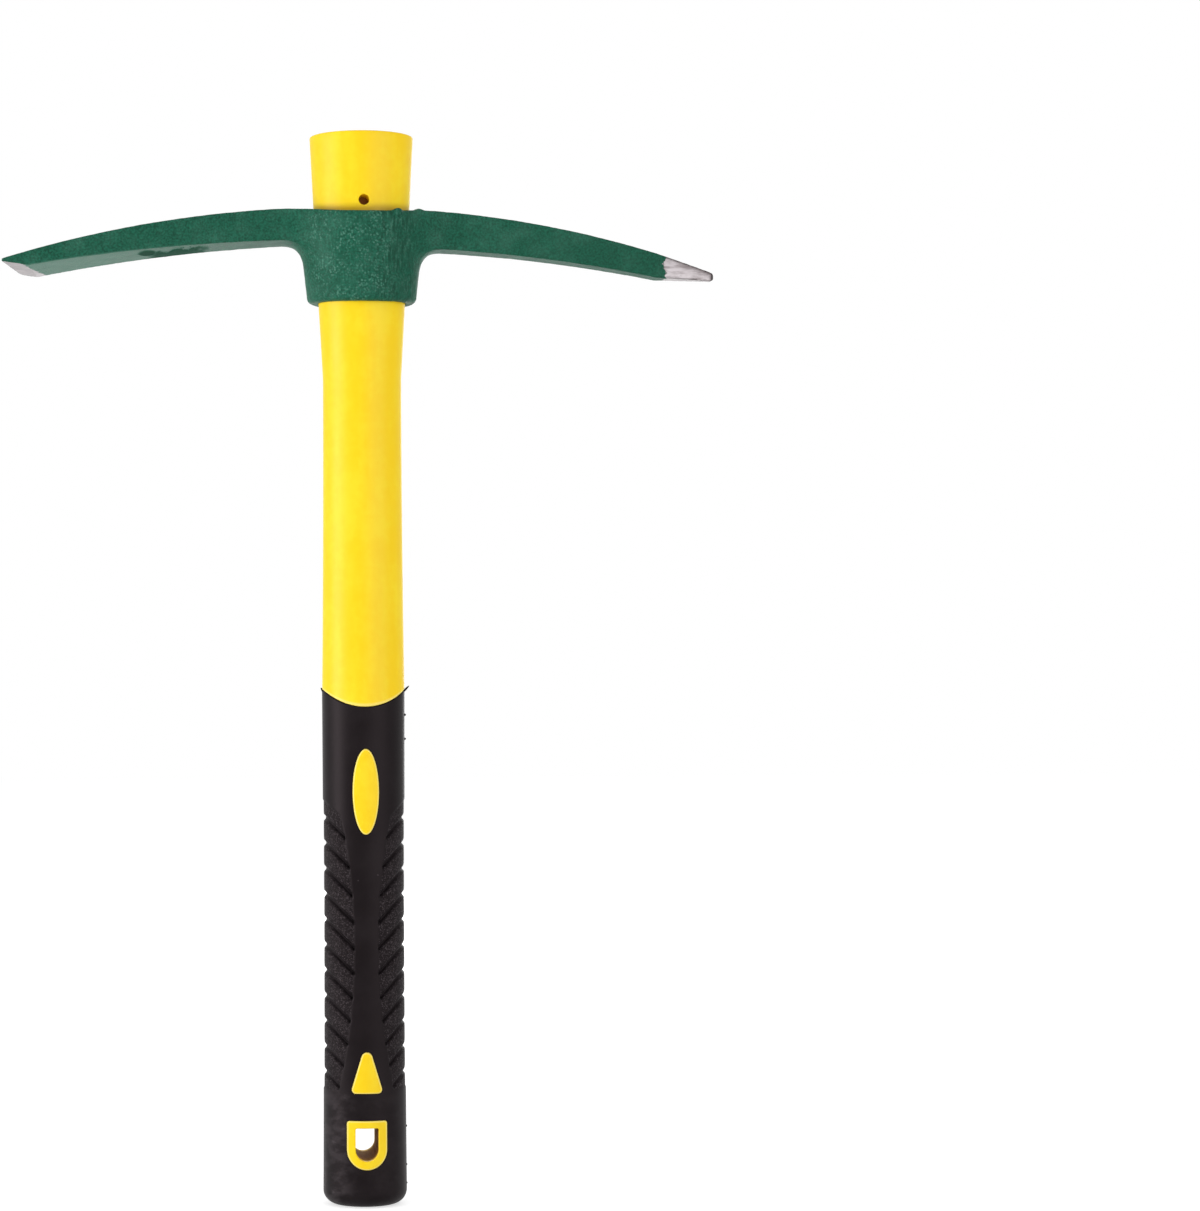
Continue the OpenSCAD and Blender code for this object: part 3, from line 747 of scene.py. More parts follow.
def resample(points, count):
    """The same closed outline with evenly spaced points, started at its lowest place."""
    points = np.roll(points, -int(np.argmin(points[:, 1] + np.abs(points[:, 0]))), axis=0)
    closed = np.concatenate([points, points[:1]])
    run = np.concatenate([[0], np.cumsum(np.hypot(*np.diff(closed, axis=0).T))])
    wanted = np.linspace(0, run[-1], count, endpoint=False)
    return np.stack([np.interp(wanted, run, closed[:, i]) for i in (0, 1)], axis=1)


def inset(points, distance):
    """A closed outline drawn in along its normals."""
    tangent = np.roll(points, -1, axis=0) - np.roll(points, 1, axis=0)
    tangent /= np.maximum(np.hypot(*tangent.T), 1e-12)[:, None]
    return points + distance * np.stack([-tangent[:, 1], tangent[:, 0]], axis=1)


def oval_outline(grip):
    """Outline of the oval island."""
    angles = np.radians(np.arange(0, 360, 3))
    return np.stack([grip.oval_w / 2 * np.cos(angles),
                     grip.oval_mid + grip.oval_len / 2 * np.sin(angles)], axis=1)


def wedge_outline(grip):
    """Outline of the three cornered island."""
    r, tip = grip.wedge_round, grip.wedge_tip
    foot_x, foot_z = grip.wedge_w / 2 - r, grip.wedge_low + r
    peak_z = grip.wedge_low + grip.wedge_len - tip
    side = math.hypot(foot_x, peak_z - foot_z)
    lean = math.degrees(math.atan2(foot_x, peak_z - foot_z) - math.asin((tip - r) / side))
    return np.concatenate([arc(foot_x, foot_z, r, -90, lean), arc(0, peak_z, tip, lean, 180 - lean),
                           arc(-foot_x, foot_z, r, 180 - lean, 270)])


def hang_outline(half, low, length, corner):
    """Outline with a round foot and a flat top."""
    top = low + length - corner
    return np.concatenate([arc(0, low + half, half, 180, 360, 40),
                           arc(half - corner, top, corner, 0, 90),
                           arc(corner - half, top, corner, 90, 180)])


def ring_outlines(grip):
    """Outlines of the ring and of the hanging hole in it."""
    wall = (grip.ring_w - grip.hang_w) / 2
    ring = hang_outline(grip.ring_w / 2, grip.ring_low, grip.ring_len, grip.ring_corner)
    hole = hang_outline(grip.hang_w / 2, grip.ring_low + wall, grip.hang_len, grip.hang_corner)
    return ring, hole


def prism(name, outline, depth):
    """A straight bar with the given outline, right through the handle."""
    rings = [np.insert(outline, 1, y, axis=1) for y in (-depth, depth)]
    return add_object(name, *rings_mesh(rings))


def island(handle, grip, outline, side, hole=None):
    """An island with rounded edges, rising from the stem through the rubber on one side."""
    foot = handle.stem_depth / 2
    rounding = grip.island_round
    edge = resample(outline, ISLAND_POINTS)

    def ring(points, drop):
        half = grip_half_at(grip, points[:, 1])
        lift = handle.oval_share * np.sqrt(np.maximum(half ** 2 - points[:, 0] ** 2, 0))
        return np.insert(points, 1, side * (lift + grip.island_proud - drop), axis=1)

    rings = [np.insert(edge, 1, side * foot, axis=1)]
    rings += [ring(inset(edge, rounding * (1 - math.cos(a))), rounding * (1 - math.sin(a)))
              for a in QUARTER]
    rim = inset(edge, rounding)
    if hole is None:
        middle = rim.mean(axis=0)
        rings += [ring(middle + (rim - middle) * part, 0) for part in (0.8, 0.55, 0.3, 0.08)]
    else:
        small = rounding / 2
        mouth = resample(hole, ISLAND_POINTS)
        lip = inset(mouth, -small)
        rings += [ring(rim + (lip - rim) * part, 0) for part in (0.25, 0.5, 0.75)]
        rings += [ring(inset(mouth, -small * math.sin(a)), small * (1 - math.sin(a)))
                  for a in QUARTER[::-1]]
        middle = mouth.mean(axis=0)
        rings += [ring(middle + (mouth - middle) * part, 2 * small) for part in (0.98, 0.5, 0.1)]
    # The rounded edge is marked for its painted highlight
    return add_object("island", *rings_mesh(rings), edge=ring_marks(rings, 2, len(QUARTER)))


def spur(root, tip, radius):
    """A small tapered thread or nub of moulding flash."""
    turned = (tip - root).to_track_quat("Z", "Y").to_matrix()
    rings = [[root.lerp(tip, part) + turned @ Vector((a, b, 0))
              for a, b in arc(0, 0, radius * math.sqrt(1 - 0.92 * part ** 2), 0, 360, 12)[:-1]]
             for part in np.linspace(0, 1, 7)]
    return add_object("spur", *rings_mesh(rings))


def make_jacket(handle, grip):
    """The yellow handle: stem, shaft, flared top and the islands."""
    def stem(half, z):
        return oval_ring(half, z, SHAFT_COLUMNS, handle.stem_depth / handle.stem_half)

    def shaft(half, z):
        return oval_ring(half, z, SHAFT_COLUMNS, handle.oval_share)

    edge = scallop_at(grip, grip.half * np.abs(np.cos(ring_angles(SHAFT_COLUMNS)))) + handle.lip_gap
    flat = grip.length + 2 * grip.scallop_dip
    # Stem, lip, shaft and top
    foot = grip.butt_wall + grip.window_gap
    rings = [stem(handle.stem_half * part, foot) for part in (0.3, 0.7, 1.0)]
    rings += [stem(handle.stem_half, z)
              for z in np.linspace(grip.butt_wall + 1 * MM, grip.length - 2 * grip.scallop_dip, 24)]
    rings.append(stem(handle.stem_half, edge))
    lip, lip_ring = handle.lip_round, len(rings)
    rings += [shaft(shaft_half_at(handle, grip, edge) - lip * (1 - math.sin(a)),
                    edge + lip * (1 - math.cos(a))) for a in QUARTER]
    top = HANDLE_HIGH.z - handle.top_round
    levels = [edge + lip + (flat - edge - lip) * part for part in np.linspace(0, 1, 25)[1:]]
    levels += list(np.linspace(flat, top, 90)[1:])
    rings += [shaft(shaft_half_at(handle, grip, z), z) for z in levels]
    crown = shaft_half_at(handle, grip, top) - handle.top_round
    rings += [shaft(crown + handle.top_round * math.cos(a), top + handle.top_round * math.sin(a))
              for a in QUARTER[1:]]
    rings += [shaft(crown * part, HANDLE_HIGH.z) for part in (0.95, 0.7, 0.4, 0.1)]
    # The lip's rounded edge is marked for its painted highlight
    jacket = add_object("handle_shell", *rings_mesh(rings),
                        edge=ring_marks(rings, lip_ring + 2, lip_ring + len(QUARTER)))

    # Islands and hanging hole
    ring, hole = ring_outlines(grip)
    for side in (-1, 1):
        for outline, mouth in ((oval_outline(grip), None), (wedge_outline(grip), None), (ring, hole)):
            combine(jacket, island(handle, grip, outline, side, mouth), "UNION")
    depth = 2 * handle.top_half
    combine(jacket, prism("hang_hole", hole, depth), "DIFFERENCE")

    # Bore for the core, and pin hole
    turns = arc(0, 0, CORE_HIGH.x + handle.core_gap, 0, 360, BORE_COLUMNS)[:-1]
    bore = [np.insert(turns, 2, z, axis=1)
            for z in (CORE_LOW.z - handle.core_gap, CORE_HIGH.z + handle.core_gap)]
    combine(jacket, add_object("core_bore", *rings_mesh(bore)), "DIFFERENCE")
    pin_z = seat_top(handle) + handle.pin_hole_rise
    pin = arc(0, pin_z, handle.pin_hole_d / 2, 0, 360, 48)[:-1]
    combine(jacket, prism("pin_hole", pin, depth), "DIFFERENCE")
    shade(jacket, sharp_degrees=38)
    return jacket


def tread_tree(values):
    """Node tree that presses pads and slanting grooves into the sides of the grip."""
    tree, given = open_tree("grip_tread", "Grip", values)
    x, _, z = Wire(tree, add_node(tree, "GeometryNodeInputPosition").outputs[0]).parts()
    skin = attribute(tree, "skin")

    across = x.maths("ABSOLUTE")
    lift = (given["Half width"] - across) * given["Groove slope"].maths("TANGENT")
    rows = (z + lift - given["Lowest groove"]) / given["Pitch"]
    phase = rows.maths("FRACT")
    groove = phase.ramp(*GROOVE_RISE).flipped().maths("MAXIMUM", phase.ramp(*GROOVE_FALL))
    bend = z - given["Band middle"]
    inner = given["Band half width"] + bend * bend / (given["Band curve"] * 2.0)
    pad = (across - inner).ramp(0.0, 0.55 * MM)
    pad = pad * (rows - given["Grooves"]).ramp(*PAD_END)
    pad = pad * (z - given["Pad foot"]).ramp(0.0, 0.6 * MM) * skin
    shallow = (across / given["Half width"]).ramp(0.72, 1.0)
    groove = groove * shallow.maths("MULTIPLY_ADD", -0.4, 1.0)
    swell = ((phase - PAD_MIDDLE) * 2.0).maths("POWER", 4.0)
    depth = given["Recess"] + swell * given["Crown"] + groove * given["Groove depth"]

    keep = add_node(tree, "GeometryNodeStoreNamedAttribute", data_type="FLOAT", domain="POINT")
    keep.inputs["Name"].default_value = "pad"
    plug(keep.inputs["Geometry"], given["Grip"])
    plug(keep.inputs["Value"], pad * groove.flipped())
    return close_tree(tree, Wire(tree, keep.outputs[0]), depth * pad * -1.0, given["Rubber"])


def make_grip(handle, grip, rubber):
    """The rubber grip: butt, sides with their tread, scalloped top and windows."""
    wall = handle.stem_half + grip.window_gap

    def outer(half, z):
        return oval_ring(half, z, GRIP_COLUMNS, handle.oval_share)

    def inner(half, z):
        return oval_ring(half, z, GRIP_COLUMNS, (handle.stem_depth + grip.window_gap) / wall)

    edge = scallop_at(grip, grip.half * np.abs(np.cos(ring_angles(GRIP_COLUMNS))))
    low_edge = grip.length - grip.scallop_dip
    fade = grip.oval_mid
    # Butt and sides
    corner = grip.half - grip.butt_round
    rings = [outer(corner * part, 0.0) for part in (0.1, 0.4, 0.7, 1.0)]
    flat_rings = len(rings)
    rings += [outer(corner + r, z)
              for r, z in arc(0, grip.butt_round, grip.butt_round, -90, 0, 14)[1:]]
    pad_top = grip.groove_low + grip.grooves * grip.pitch
    heights = np.concatenate([
        np.arange(grip.butt_round + 1 * MM, grip.pad_low - 1 * MM, PLAIN_STEP),
        np.arange(grip.pad_low - 1 * MM, pad_top, TREAD_STEP),
        np.linspace(pad_top, low_edge - grip.lip_round, 36),
    ])
    for z in heights:
        slide = np.clip((z - fade) / (low_edge - fade), 0, 1) ** 2
        level = z + (edge - low_edge) * slide
        rings.append(outer(grip_half_at(grip, level), level))
    skin_rings = len(rings)
    # Parting line, lip and inside
    for ring in rings[flat_rings:]:
        ring[[0, GRIP_COLUMNS // 2], 0] *= 1 + grip.parting / grip.half
    lip = grip.lip_round
    rings += [outer(grip_half_at(grip, edge) - lip * (1 - math.cos(a)), edge - lip * (1 - math.sin(a)))
              for a in np.radians(np.linspace(0, 90, 6))[1:]]
    rings.append(inner(wall, edge))
    rings += [inner(wall, z)
              for z in np.linspace(grip.length - 2 * grip.scallop_dip, grip.butt_wall, 16)]
    rings += [inner(wall * part, grip.butt_wall) for part in (0.7, 0.3)]
    sleeve = add_object("grip_rubber", *rings_mesh(rings), skin=ring_marks(rings, 0, skin_rings))
    values = {
        "Grooves": grip.grooves, "Half width": grip.half, "Pitch": grip.pitch,
        "Lowest groove": grip.groove_low, "Groove depth": grip.groove_depth,
        "Groove slope": grip.slope, "Recess": grip.recess, "Crown": grip.pillow,
        "Pad foot": grip.pad_low, "Band half width": grip.band_half,
        "Band middle": grip.band_mid, "Band curve": grip.band_curve, "Rubber": rubber,
    }
    grow_nodes(sleeve, tread_tree(values), values)
    # Windows, flash and nubs
    ring, _ = ring_outlines(grip)
    for outline in (oval_outline(grip), wedge_outline(grip), ring):
        window = inset(resample(outline, ISLAND_POINTS), -grip.window_gap)
        combine(sleeve, prism("window", window, 2 * grip.half), "DIFFERENCE")
    top_corner = grip.length - grip.scallop_land
    for side, out, up in THREADS:
        root = Vector((side * (grip.half - grip.nub), 0, top_corner - grip.nub))
        tip = root + Vector((side * (grip.nub + out * grip.flash), 0, grip.nub + up * grip.flash))
        combine(sleeve, spur(root, tip, 0.7 * grip.nub), "UNION")
    for z in grip.nubs:
        root = Vector((grip_half_at(grip, z) - grip.nub, 0, z))
        reach = grip.nub * (1.55 + 0.5 * z / grip.length)
        combine(sleeve, spur(root, root + Vector((reach, 0, 0)), grip.nub), "UNION")
    shade(sleeve, sharp_degrees=50)
    return sleeve


# Head

def droop(run, drop, at):
    """How far an arc that falls by a drop over a run has fallen at a place along it."""
    radius = (run * run + drop * drop) / (2 * drop)
    return radius - np.sqrt(np.maximum(radius * radius - at * at, 0))


def soft_min(a, b, blend):
    """Joins two distance fields with a rounded inner corner."""
    near = np.maximum(blend - np.abs(a - b), 0) / blend
    return np.minimum(a, b) - near * near * blend / 4


def round_max(a, b, radius):
    """Keeps what two distance fields share, with a rounded outer corner."""
    return np.minimum(-radius, np.maximum(a, b)) + np.hypot(np.maximum(a + radius, 0),
                                                           np.maximum(b + radius, 0))


def oval_field(x, y, half, share_y):
    """Distance from an upright oval wall."""
    deep = half * share_y
    ratio = np.hypot(x / half, y / deep)
    slope = np.maximum(np.hypot(x / half ** 2, y / deep ** 2), 1e-6)
    return ratio * (ratio - 1) / slope


def bar_field(y, z, half_w, half_t, corner):
    """Distance from a bar with rounded long edges."""
    out_y = np.abs(y) - half_w + corner
    out_z = np.abs(z) - half_t + corner
    outside = np.hypot(np.maximum(out_y, 0), np.maximum(out_z, 0))
    return outside + np.minimum(np.maximum(out_y, out_z), 0) - corner


def past_edge(head, x, y):
    """How far a point lies past the slanting cutting edge."""
    skew = math.atan2(head.adze_skew, head.adze_edge_w)
    return (HEAD_LOW.x - x + head.adze_skew / 2) * math.cos(skew) + y * math.sin(skew)


def bevel_field(head, x, y, z):
    """Height of the ground bevel's plane above a point."""
    reach = -HEAD_LOW.x
    drop = head.adze_drop - head.adze_root_t + head.adze_tip_t
    rise = head.adze_tip_t - head.edge_t - float(
        droop(reach, drop, reach) - droop(reach, drop, reach - head.bevel_len))
    edge_z = HEAD_HIGH.z - head.adze_drop - head.edge_t
    plane_z = edge_z + past_edge(head, x, y) * rise / head.bevel_len
    return (plane_z - z) * math.cos(math.atan2(rise, head.bevel_len))


def adze_field(head, eye_half, x, y, z):
    """Distance from the adze blade."""
    reach = -HEAD_LOW.x
    run = np.clip(-x, 0, reach)
    top = HEAD_HIGH.z + head.adze_lift - droop(reach, head.adze_drop, run)
    low = HEAD_HIGH.z - head.adze_root_t - droop(
        reach, head.adze_drop - head.adze_root_t + head.adze_tip_t, run)
    taper = np.clip((run - eye_half) / (reach - eye_half), 0, 1) ** 1.12
    half_w = (head.adze_root_w + (head.adze_edge_w - head.adze_root_w) * taper) / 2
    blade = bar_field(y, z - (top + low) / 2, half_w, (top - low) / 2, head.edge_round)
    end = past_edge(head, x, y)
    corner = round_max(end, y - half_w, head.adze_corner)
    blade = np.maximum(np.maximum(blade, corner), np.maximum(end, x))
    return np.maximum(blade, bevel_field(head, x, y, z))


def pick_field(head, eye_half, x, y, z):
    """Distance from the pick with its ground point."""
    reach = HEAD_HIGH.x
    start = reach - head.point_len
    run = np.clip(x, 0, start)
    point = np.clip((x - start) / head.point_len, 0, 1)
    top = HEAD_HIGH.z + head.pick_lift - droop(start, head.pick_drop, run) - head.point_drop * point
    tip_low = head.point_drop + head.tip_t - head.pick_point_t
    low = HEAD_HIGH.z - head.pick_root_t - droop(
        start, head.pick_drop - head.pick_root_t + head.pick_point_t, run) - tip_low * point
    taper = np.clip((run - eye_half) / (start - eye_half), 0, 1)
    half_w = (head.pick_root_w + (head.pick_point_w - head.pick_root_w) * taper) / 2
    half_w = half_w + (head.tip_t - head.pick_point_w) / 2 * point
    corner = head.edge_round * (1 - 0.6 * point)
    bar = bar_field(y, z - (top + low) / 2, half_w, (top - low) / 2, corner)
    return np.maximum(round_max(bar, x - reach, 0.5 * head.tip_t), -x)


def head_field(head, handle, x, y, z):
    """Distance from the whole forging: eye, adze and pick, less the bore."""
    eye_top = seat_top(handle) - head.eye_sink
    up = (z - HEAD_LOW.z) / (eye_top - HEAD_LOW.z)
    low_half = handle.seat_low_half + head.seat_fit
    top_half = handle.seat_top_half + head.seat_fit
    bore_half = low_half + (top_half - low_half) * up
    wall = head.eye_low_wall + (head.eye_top_wall - head.eye_low_wall) * np.clip(up, 0, 1)
    eye_half = top_half + head.eye_top_wall
    side = oval_field(x, y, bore_half + wall, handle.oval_share)
    aside = (x / eye_half) ** 2
    rim = eye_top + head.eye_rise * aside
    foot = HEAD_LOW.z + head.eye_fall * (aside - 0.5)
    eye = round_max(side, np.maximum(z - rim, foot - z), head.eye_round)
    solid = soft_min(eye, adze_field(head, eye_half, x, y, z), head.adze_blend)
    solid = soft_min(solid, pick_field(head, eye_half, x, y, z), head.pick_blend)
    crest = HEAD_HIGH.z + np.where(
        x < 0, head.adze_lift - droop(-HEAD_LOW.x, head.adze_drop, np.abs(x)),
        head.pick_lift - droop(HEAD_HIGH.x - head.point_len, head.pick_drop, np.abs(x)))
    solid = round_max(solid, z - soft_min(crest, rim + RIM_LIFT, RIM_BLEND), 0.5 * head.edge_round)
    for along, across, above in LUMPS:
        lump = np.sqrt((x - along) ** 2 + (y - across) ** 2 + (z - eye_top - above) ** 2)
        solid = soft_min(solid, lump - head.lump_r, 1.3 * head.lump_r)
    return round_max(solid, -oval_field(x, y, bore_half, handle.oval_share), head.rim_round)


def gradient(field, points, step):
    """Slope of a distance field at some points."""
    slope = np.empty_like(points)
    for axis in range(3):
        shift = np.zeros(3)
        shift[axis] = step
        slope[:, axis] = field(*(points + shift).T) - field(*(points - shift).T)
    return slope / (2 * step)


def field_mesh(field, low, high, cell):
    """Points and faces on the zero level of a distance field, kept sharp at its edges."""
    axes = [np.arange(a - GRID_BEFORE * cell, b + GRID_AFTER * cell, cell) for a, b in zip(low, high)]
    shape = [len(axis) for axis in axes]
    value = np.stack([field(x, *np.meshgrid(*axes[1:], indexing="ij")) for x in axes[0]])
    inside = value < 0
    # Where the grid's lines cross the surface, and the four cells round each crossing
    crossings, cells, flips = [], [], []
    for axis in range(3):
        ahead = np.roll(inside, -1, axis)
        crossed = inside != ahead
        crossed[tuple(slice(None) if i != axis else -1 for i in range(3))] = False
        corner = np.argwhere(crossed)
        here, there = value[crossed], np.roll(value, -1, axis)[crossed]
        spot = corner.astype(float)
        spot[:, axis] += here / (here - there)
        crossings.append(np.stack([axes[i][0] + cell * spot[:, i] for i in range(3)], axis=1))
        one, two = np.eye(3, dtype=int)[[(axis + 1) % 3, (axis + 2) % 3]]
        around = np.stack([corner, corner - one, corner - one - two, corner - two], axis=1)
        cells.append(np.ravel_multi_index(tuple(np.moveaxis(around, 2, 0)), shape))
        flips.append(inside[crossed])
    crossing, cell_ids, flip = (np.concatenate(group) for group in (crossings, cells, flips))
    normal = gradient(field, crossing, SLOPE_STEP * cell)
    normal /= np.linalg.norm(normal, axis=1)[:, None]

    # One point for each of those cells, as near as it can be to the planes at its crossings
    used, corner = np.unique(cell_ids, return_inverse=True)
    corner = corner.reshape(cell_ids.shape)
    count = np.bincount(corner.ravel(), minlength=len(used)).astype(float)

    def total(values):
        columns = [np.bincount(corner.ravel(), np.repeat(column, 4), len(used)) for column in values.T]
        return np.stack(columns, axis=1)

    middle = total(crossing) / count[:, None]
    planes = (normal[:, :, None] * normal[:, None, :]).reshape(-1, 9)
    pull = MIDDLE_PULL * count
    matrix = total(planes).reshape(-1, 3, 3) + pull[:, None, None] * np.eye(3)
    aim = total(normal * np.sum(normal * crossing, axis=1)[:, None]) + pull[:, None] * middle
    points = np.linalg.solve(matrix, aim[:, :, None])[:, :, 0]
    points = middle + np.clip(points - middle, -POINT_SHIFT * cell, POINT_SHIFT * cell)
    faces = np.where(flip[:, None], corner, corner[:, ::-1])
    return points, faces.tolist()


def skin_tree(values):
    """Node tree that roughens the forging, except where it is ground."""
    tree, given = open_tree("forged_skin", "Head", values)
    where = Wire(tree, add_node(tree, "GeometryNodeInputPosition").outputs[0])
    rough = attribute(tree, "ground").ramp(0.2 * MM, -1.0 * MM)

    peel = noise(where, given["Grain"], 1.0, given["Seed"])
    x, y, _ = where.parts()
    worms = noise(where.stretched(1.0, 1.0, 0.22), 1.7 * MM, 1.0, seed=3.0)
    eye = x.ramp(3 * MM, 9 * MM) * x.ramp(24 * MM, 19 * MM)
    dents = noise(where, 6 * MM, 1.0, seed=5.0)
    blotch, trail = paint_run(where)
    thick = (blotch + trail * y.ramp(9 * MM, 4 * MM)) * attribute(tree, "under")
    height = (peel - 0.5) + (worms - 0.5) * eye * 1.6
    height = height + (dents - 0.5) * 1.2 + thick * 1.7
    return close_tree(tree, given["Head"], height * given["Height"] * rough, given["Paint"])


def make_head(head, handle, paint):
    """The forged head, meshed from its distance field and then roughened."""
    def field(x, y, z):
        return head_field(head, handle, x, y, z)

    points, faces = field_mesh(field, HEAD_LOW, HEAD_HIGH, head.cell)
    x, y, z = points.T
    # 1 where the skin faces down, 0 on walls and on top
    under = np.clip(-2.5 * gradient(field, points, 0.5 * head.cell)[:, 2] - 1.2, 0, 1)
    # How far each point lies inside the ground steel
    skew = head.adze_skew / head.adze_edge_w
    inward = x - HEAD_LOW.x - head.adze_skew / 2 - y * skew
    grind = head.bevel_len - head.bevel_paint + y * skew / 2 - inward
    grind = np.where((x < 0) & (under > 0), 2.5 * np.minimum(grind, head.bevel_len / 4), -1)
    start = HEAD_HIGH.x - head.point_len
    along = (x - start) / head.point_len
    point_top = HEAD_HIGH.z - head.pick_drop - head.point_drop * along
    lean = 0.15 * (z - point_top + head.pick_point_t / 2)
    ground = np.maximum(grind, x - start - head.point_paint + lean)
    # How burnt it is on the point's ridge, at its tip and along the cutting edge
    ridge_w = head.ridge_burn + head.ridge_grow * np.clip(along, 0, 1) ** 2
    ridge = np.clip((z - point_top + ridge_w) / RIDGE_FADE, 0, 1)
    tip = np.clip((x - HEAD_HIGH.x + head.tip_burn) / TIP_FADE, 0, 1)
    dull = 0.4 * np.clip((z - point_top) / head.pick_point_t + 0.9, 0, 1)
    scorch = np.where(x > start, np.maximum(np.maximum(ridge, tip), dull), 0)
    near_edge = np.clip(1 - np.abs(bevel_field(head, x, y, z)) / head.edge_burn, 0, 1)
    scorch = np.where((inward < head.bevel_len) & (under == 0), near_edge, scorch)
    forging = add_object("mattock_head", points, faces, ground=ground, scorch=scorch, under=under)
    values = {"Grain": head.grain, "Height": head.grain_height, "Seed": 1.0, "Paint": paint}
    grow_nodes(forging, skin_tree(values), values)
    shade(forging, sharp_degrees=32)
    return forging


# Stage

def seen_directly(tree):
    """1 for the camera and for what is mirrored or seen through glass, 0 for other light."""
    path = add_node(tree, "ShaderNodeLightPath")
    rays = [Wire(tree, path.outputs[name]) for name in
            ("Is Camera Ray", "Is Glossy Ray", "Is Transmission Ray")]
    return rays[0].maths("MAXIMUM", rays[1]).maths("MAXIMUM", rays[2])


def make_floor(stage):
    """A pale floor that shows white, with the tool's shadow on it."""
    half = stage.floor_size / 2
    mesh = bpy.data.meshes.new("floor")
    corners = [(-half, -half), (half, -half), (half, half), (-half, half)]
    mesh.from_pydata([(x, y, -stage.floor_gap) for x, y in corners], [], [(0, 1, 2, 3)])
    floor = place("floor", mesh)
    material = bpy.data.materials.new("floor_white")
    material.use_nodes = True
    tree = material.node_tree
    tree.nodes.remove(tree.nodes["Principled BSDF"])
    matt = add_node(tree, "ShaderNodeBsdfDiffuse")
    matt.inputs["Color"].default_value = (*stage.floor, 1.0)
    glow = add_node(tree, "ShaderNodeEmission")
    plug(glow.inputs["Strength"], seen_directly(tree) * stage.floor_glow)
    both = add_node(tree, "ShaderNodeAddShader")
    plug(both.inputs[0], Wire(tree, matt.outputs[0]))
    plug(both.inputs[1], Wire(tree, glow.outputs[0]))
    plug(tree.nodes["Material Output"].inputs["Surface"], Wire(tree, both.outputs[0]))
    mesh.materials.append(material)


def make_world(stage):
    """White where it is seen, a softer light on the tool."""
    world = bpy.data.worlds.new("studio")
    world.use_nodes = True
    tree = world.node_tree
    background = tree.nodes["Background"]
    background.inputs["Color"].default_value = (1, 1, 1, 1)
    seen = seen_directly(tree)
    plug(background.inputs["Strength"], seen * (1 - stage.ambient) + stage.ambient)
    bpy.context.scene.world = world


def make_lamp(stage, name, angle, rise, power, width):
    """A square soft light that looks at the middle of the handle."""
    light = bpy.data.lights.new(name, "AREA")
    light.energy, light.size = power, width
    away = Vector((stage.lamp_far * math.sin(angle), -stage.lamp_far * math.cos(angle), rise))
    place(name, light, away + Vector((0, 0, stage.height)), (-away).to_track_quat("-Z", "Y"))


def make_camera(stage):
    """The photograph's camera, with the handle's axis as far left of the middle as there."""
    data = bpy.data.cameras.new("camera")
    data.sensor_width = SENSOR
    data.lens = stage.focal * SENSOR / PHOTO_H
    data.shift_x = (PHOTO_W / 2 - stage.axis_u) / PHOTO_H
    data.shift_y = (stage.axis_v - PHOTO_H / 2) / PHOTO_H
    back = Vector((math.sin(stage.azimuth), -math.cos(stage.azimuth), 0))
    spot = back * stage.distance + Vector((0, 0, stage.height))
    turned = (-back).to_track_quat("-Z", "Y") @ Quaternion((0, 0, 1), stage.roll)
    bpy.context.scene.camera = place("camera", data, spot, turned)


# Operators

class MATTOCK_OT_stage(bpy.types.Operator):
    """Sets up the camera, the light and the floor"""

    bl_idname = "mattock.stage"
    bl_label = "Stage"

    def execute(self, context):
        stage = context.scene.mattock_stage
        context.scene.view_settings.view_transform = "Standard"
        make_camera(stage)
        make_floor(stage)
        make_world(stage)
        make_lamp(stage, "key", stage.key_turn, stage.key_rise, stage.key_power, stage.key_size)
        make_lamp(stage, "fill", stage.fill_turn, stage.fill_rise, stage.fill_power, stage.fill_size)
        make_lamp(stage, "back", stage.back_turn, stage.fill_rise, stage.back_power, stage.fill_size)
        return {"FINISHED"}


class MATTOCK_OT_head(bpy.types.Operator):
    """Makes the painted forging"""

    bl_idname = "mattock.head"
    bl_label = "Head"

    def execute(self, context):
        head, handle = context.scene.mattock_head, context.scene.mattock_handle
        paint = paint_material(head)
        dress(make_head(head, handle, paint), paint, "head", "forged_head")
        return {"FINISHED"}


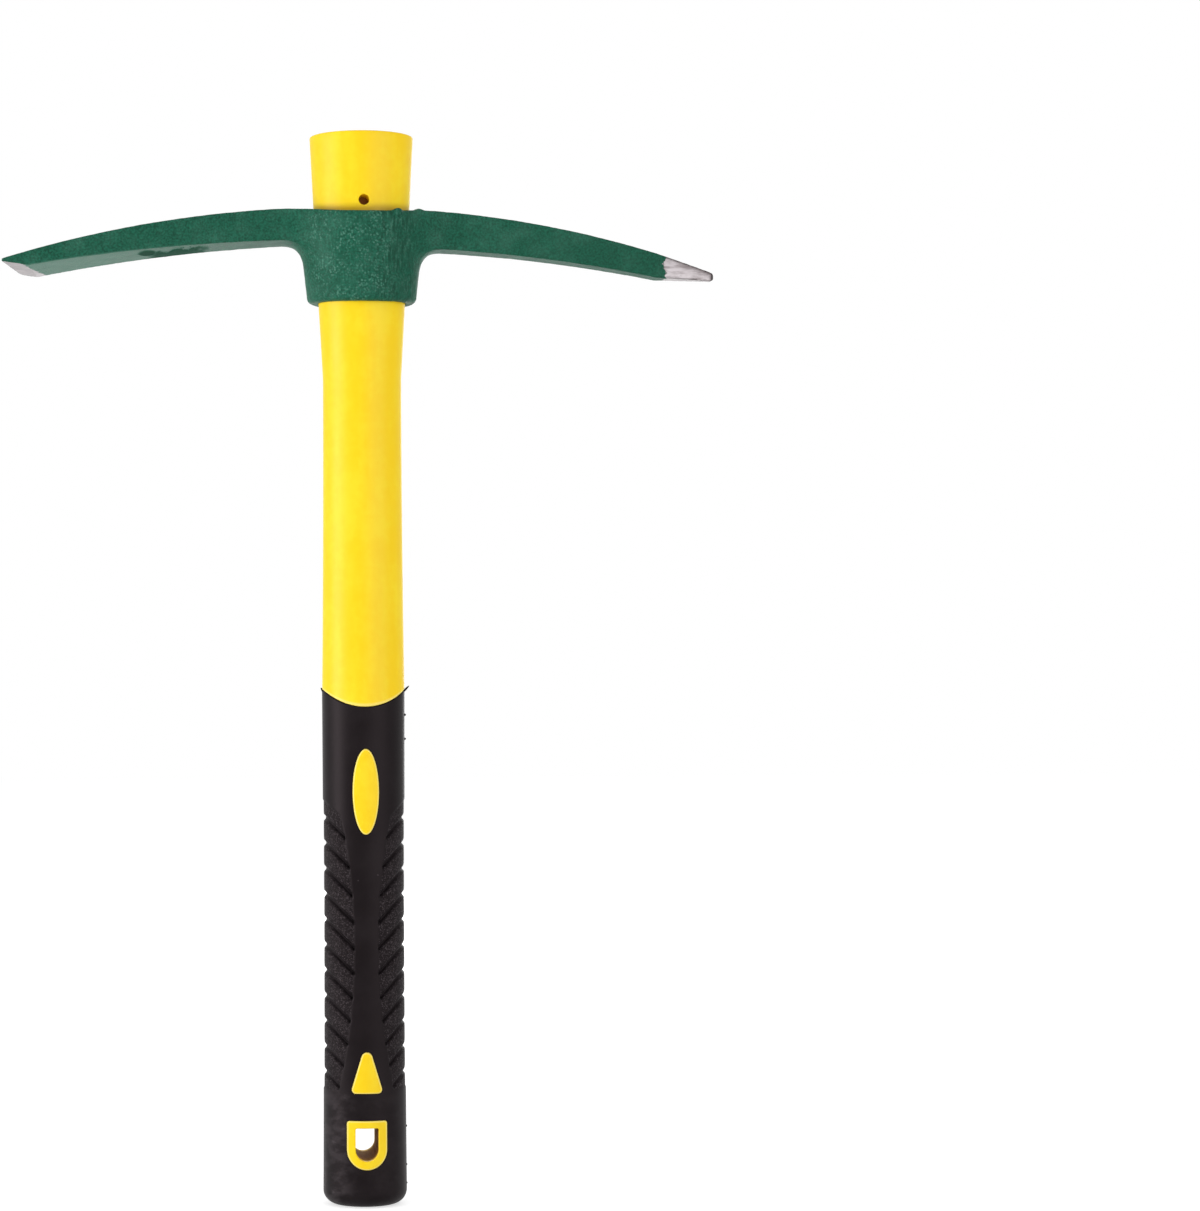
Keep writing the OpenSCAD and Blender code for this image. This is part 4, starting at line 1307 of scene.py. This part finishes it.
class MATTOCK_OT_handle(bpy.types.Operator):
    """Makes the moulded handle with its islands, and finishes the core"""

    bl_idname = "mattock.handle"
    bl_label = "Handle"

    def execute(self, context):
        handle, grip = context.scene.mattock_handle, context.scene.mattock_grip
        dress(make_jacket(handle, grip), plastic_material(handle, grip), "handle",
              "handle_jacket")
        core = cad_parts["fibreglass_core"].data.materials
        core.clear()
        core.append(fibre_material(handle))
        return {"FINISHED"}


class MATTOCK_OT_grip(bpy.types.Operator):
    """Makes the ribbed rubber grip"""

    bl_idname = "mattock.grip"
    bl_label = "Grip"

    def execute(self, context):
        handle, grip = context.scene.mattock_handle, context.scene.mattock_grip
        rubber = rubber_material(grip)
        dress(make_grip(handle, grip, rubber), rubber, "handle", "grip_sleeve")
        return {"FINISHED"}


class MATTOCK_PT_sidebar(bpy.types.Panel):
    """Lists the mattock's pieces and their sizes"""

    bl_idname = "MATTOCK_PT_sidebar"
    bl_label = "Mattock"
    bl_space_type = "VIEW_3D"
    bl_region_type = "UI"
    bl_category = "Mattock"

    def draw(self, context):
        for piece, group in PIECES.items():
            box = self.layout.box()
            box.operator(f"mattock.{piece}")
            settings = getattr(context.scene, f"mattock_{piece}")
            for name in group.__annotations__:
                box.prop(settings, name)


PIECES = {"stage": StageShape, "head": HeadShape, "handle": HandleShape, "grip": GripShape}
OPERATORS = (MATTOCK_OT_stage, MATTOCK_OT_head, MATTOCK_OT_handle, MATTOCK_OT_grip)
CLASSES = (*PIECES.values(), *OPERATORS, MATTOCK_PT_sidebar)


def register():
    """Adds the classes, and the settings to the scene."""
    for item in CLASSES:
        bpy.utils.register_class(item)
    for piece, group in PIECES.items():
        setattr(bpy.types.Scene, f"mattock_{piece}", PointerProperty(type=group))


def unregister():
    """Takes the settings and the classes away again."""
    for piece in PIECES:
        delattr(bpy.types.Scene, f"mattock_{piece}")
    for item in reversed(CLASSES):
        bpy.utils.unregister_class(item)


def main():
    """Makes the stage and every piece."""
    register()
    bpy.ops.mattock.stage()
    bpy.ops.mattock.head()
    bpy.ops.mattock.handle()
    bpy.ops.mattock.grip()


if __name__ == "__main__":
    main()
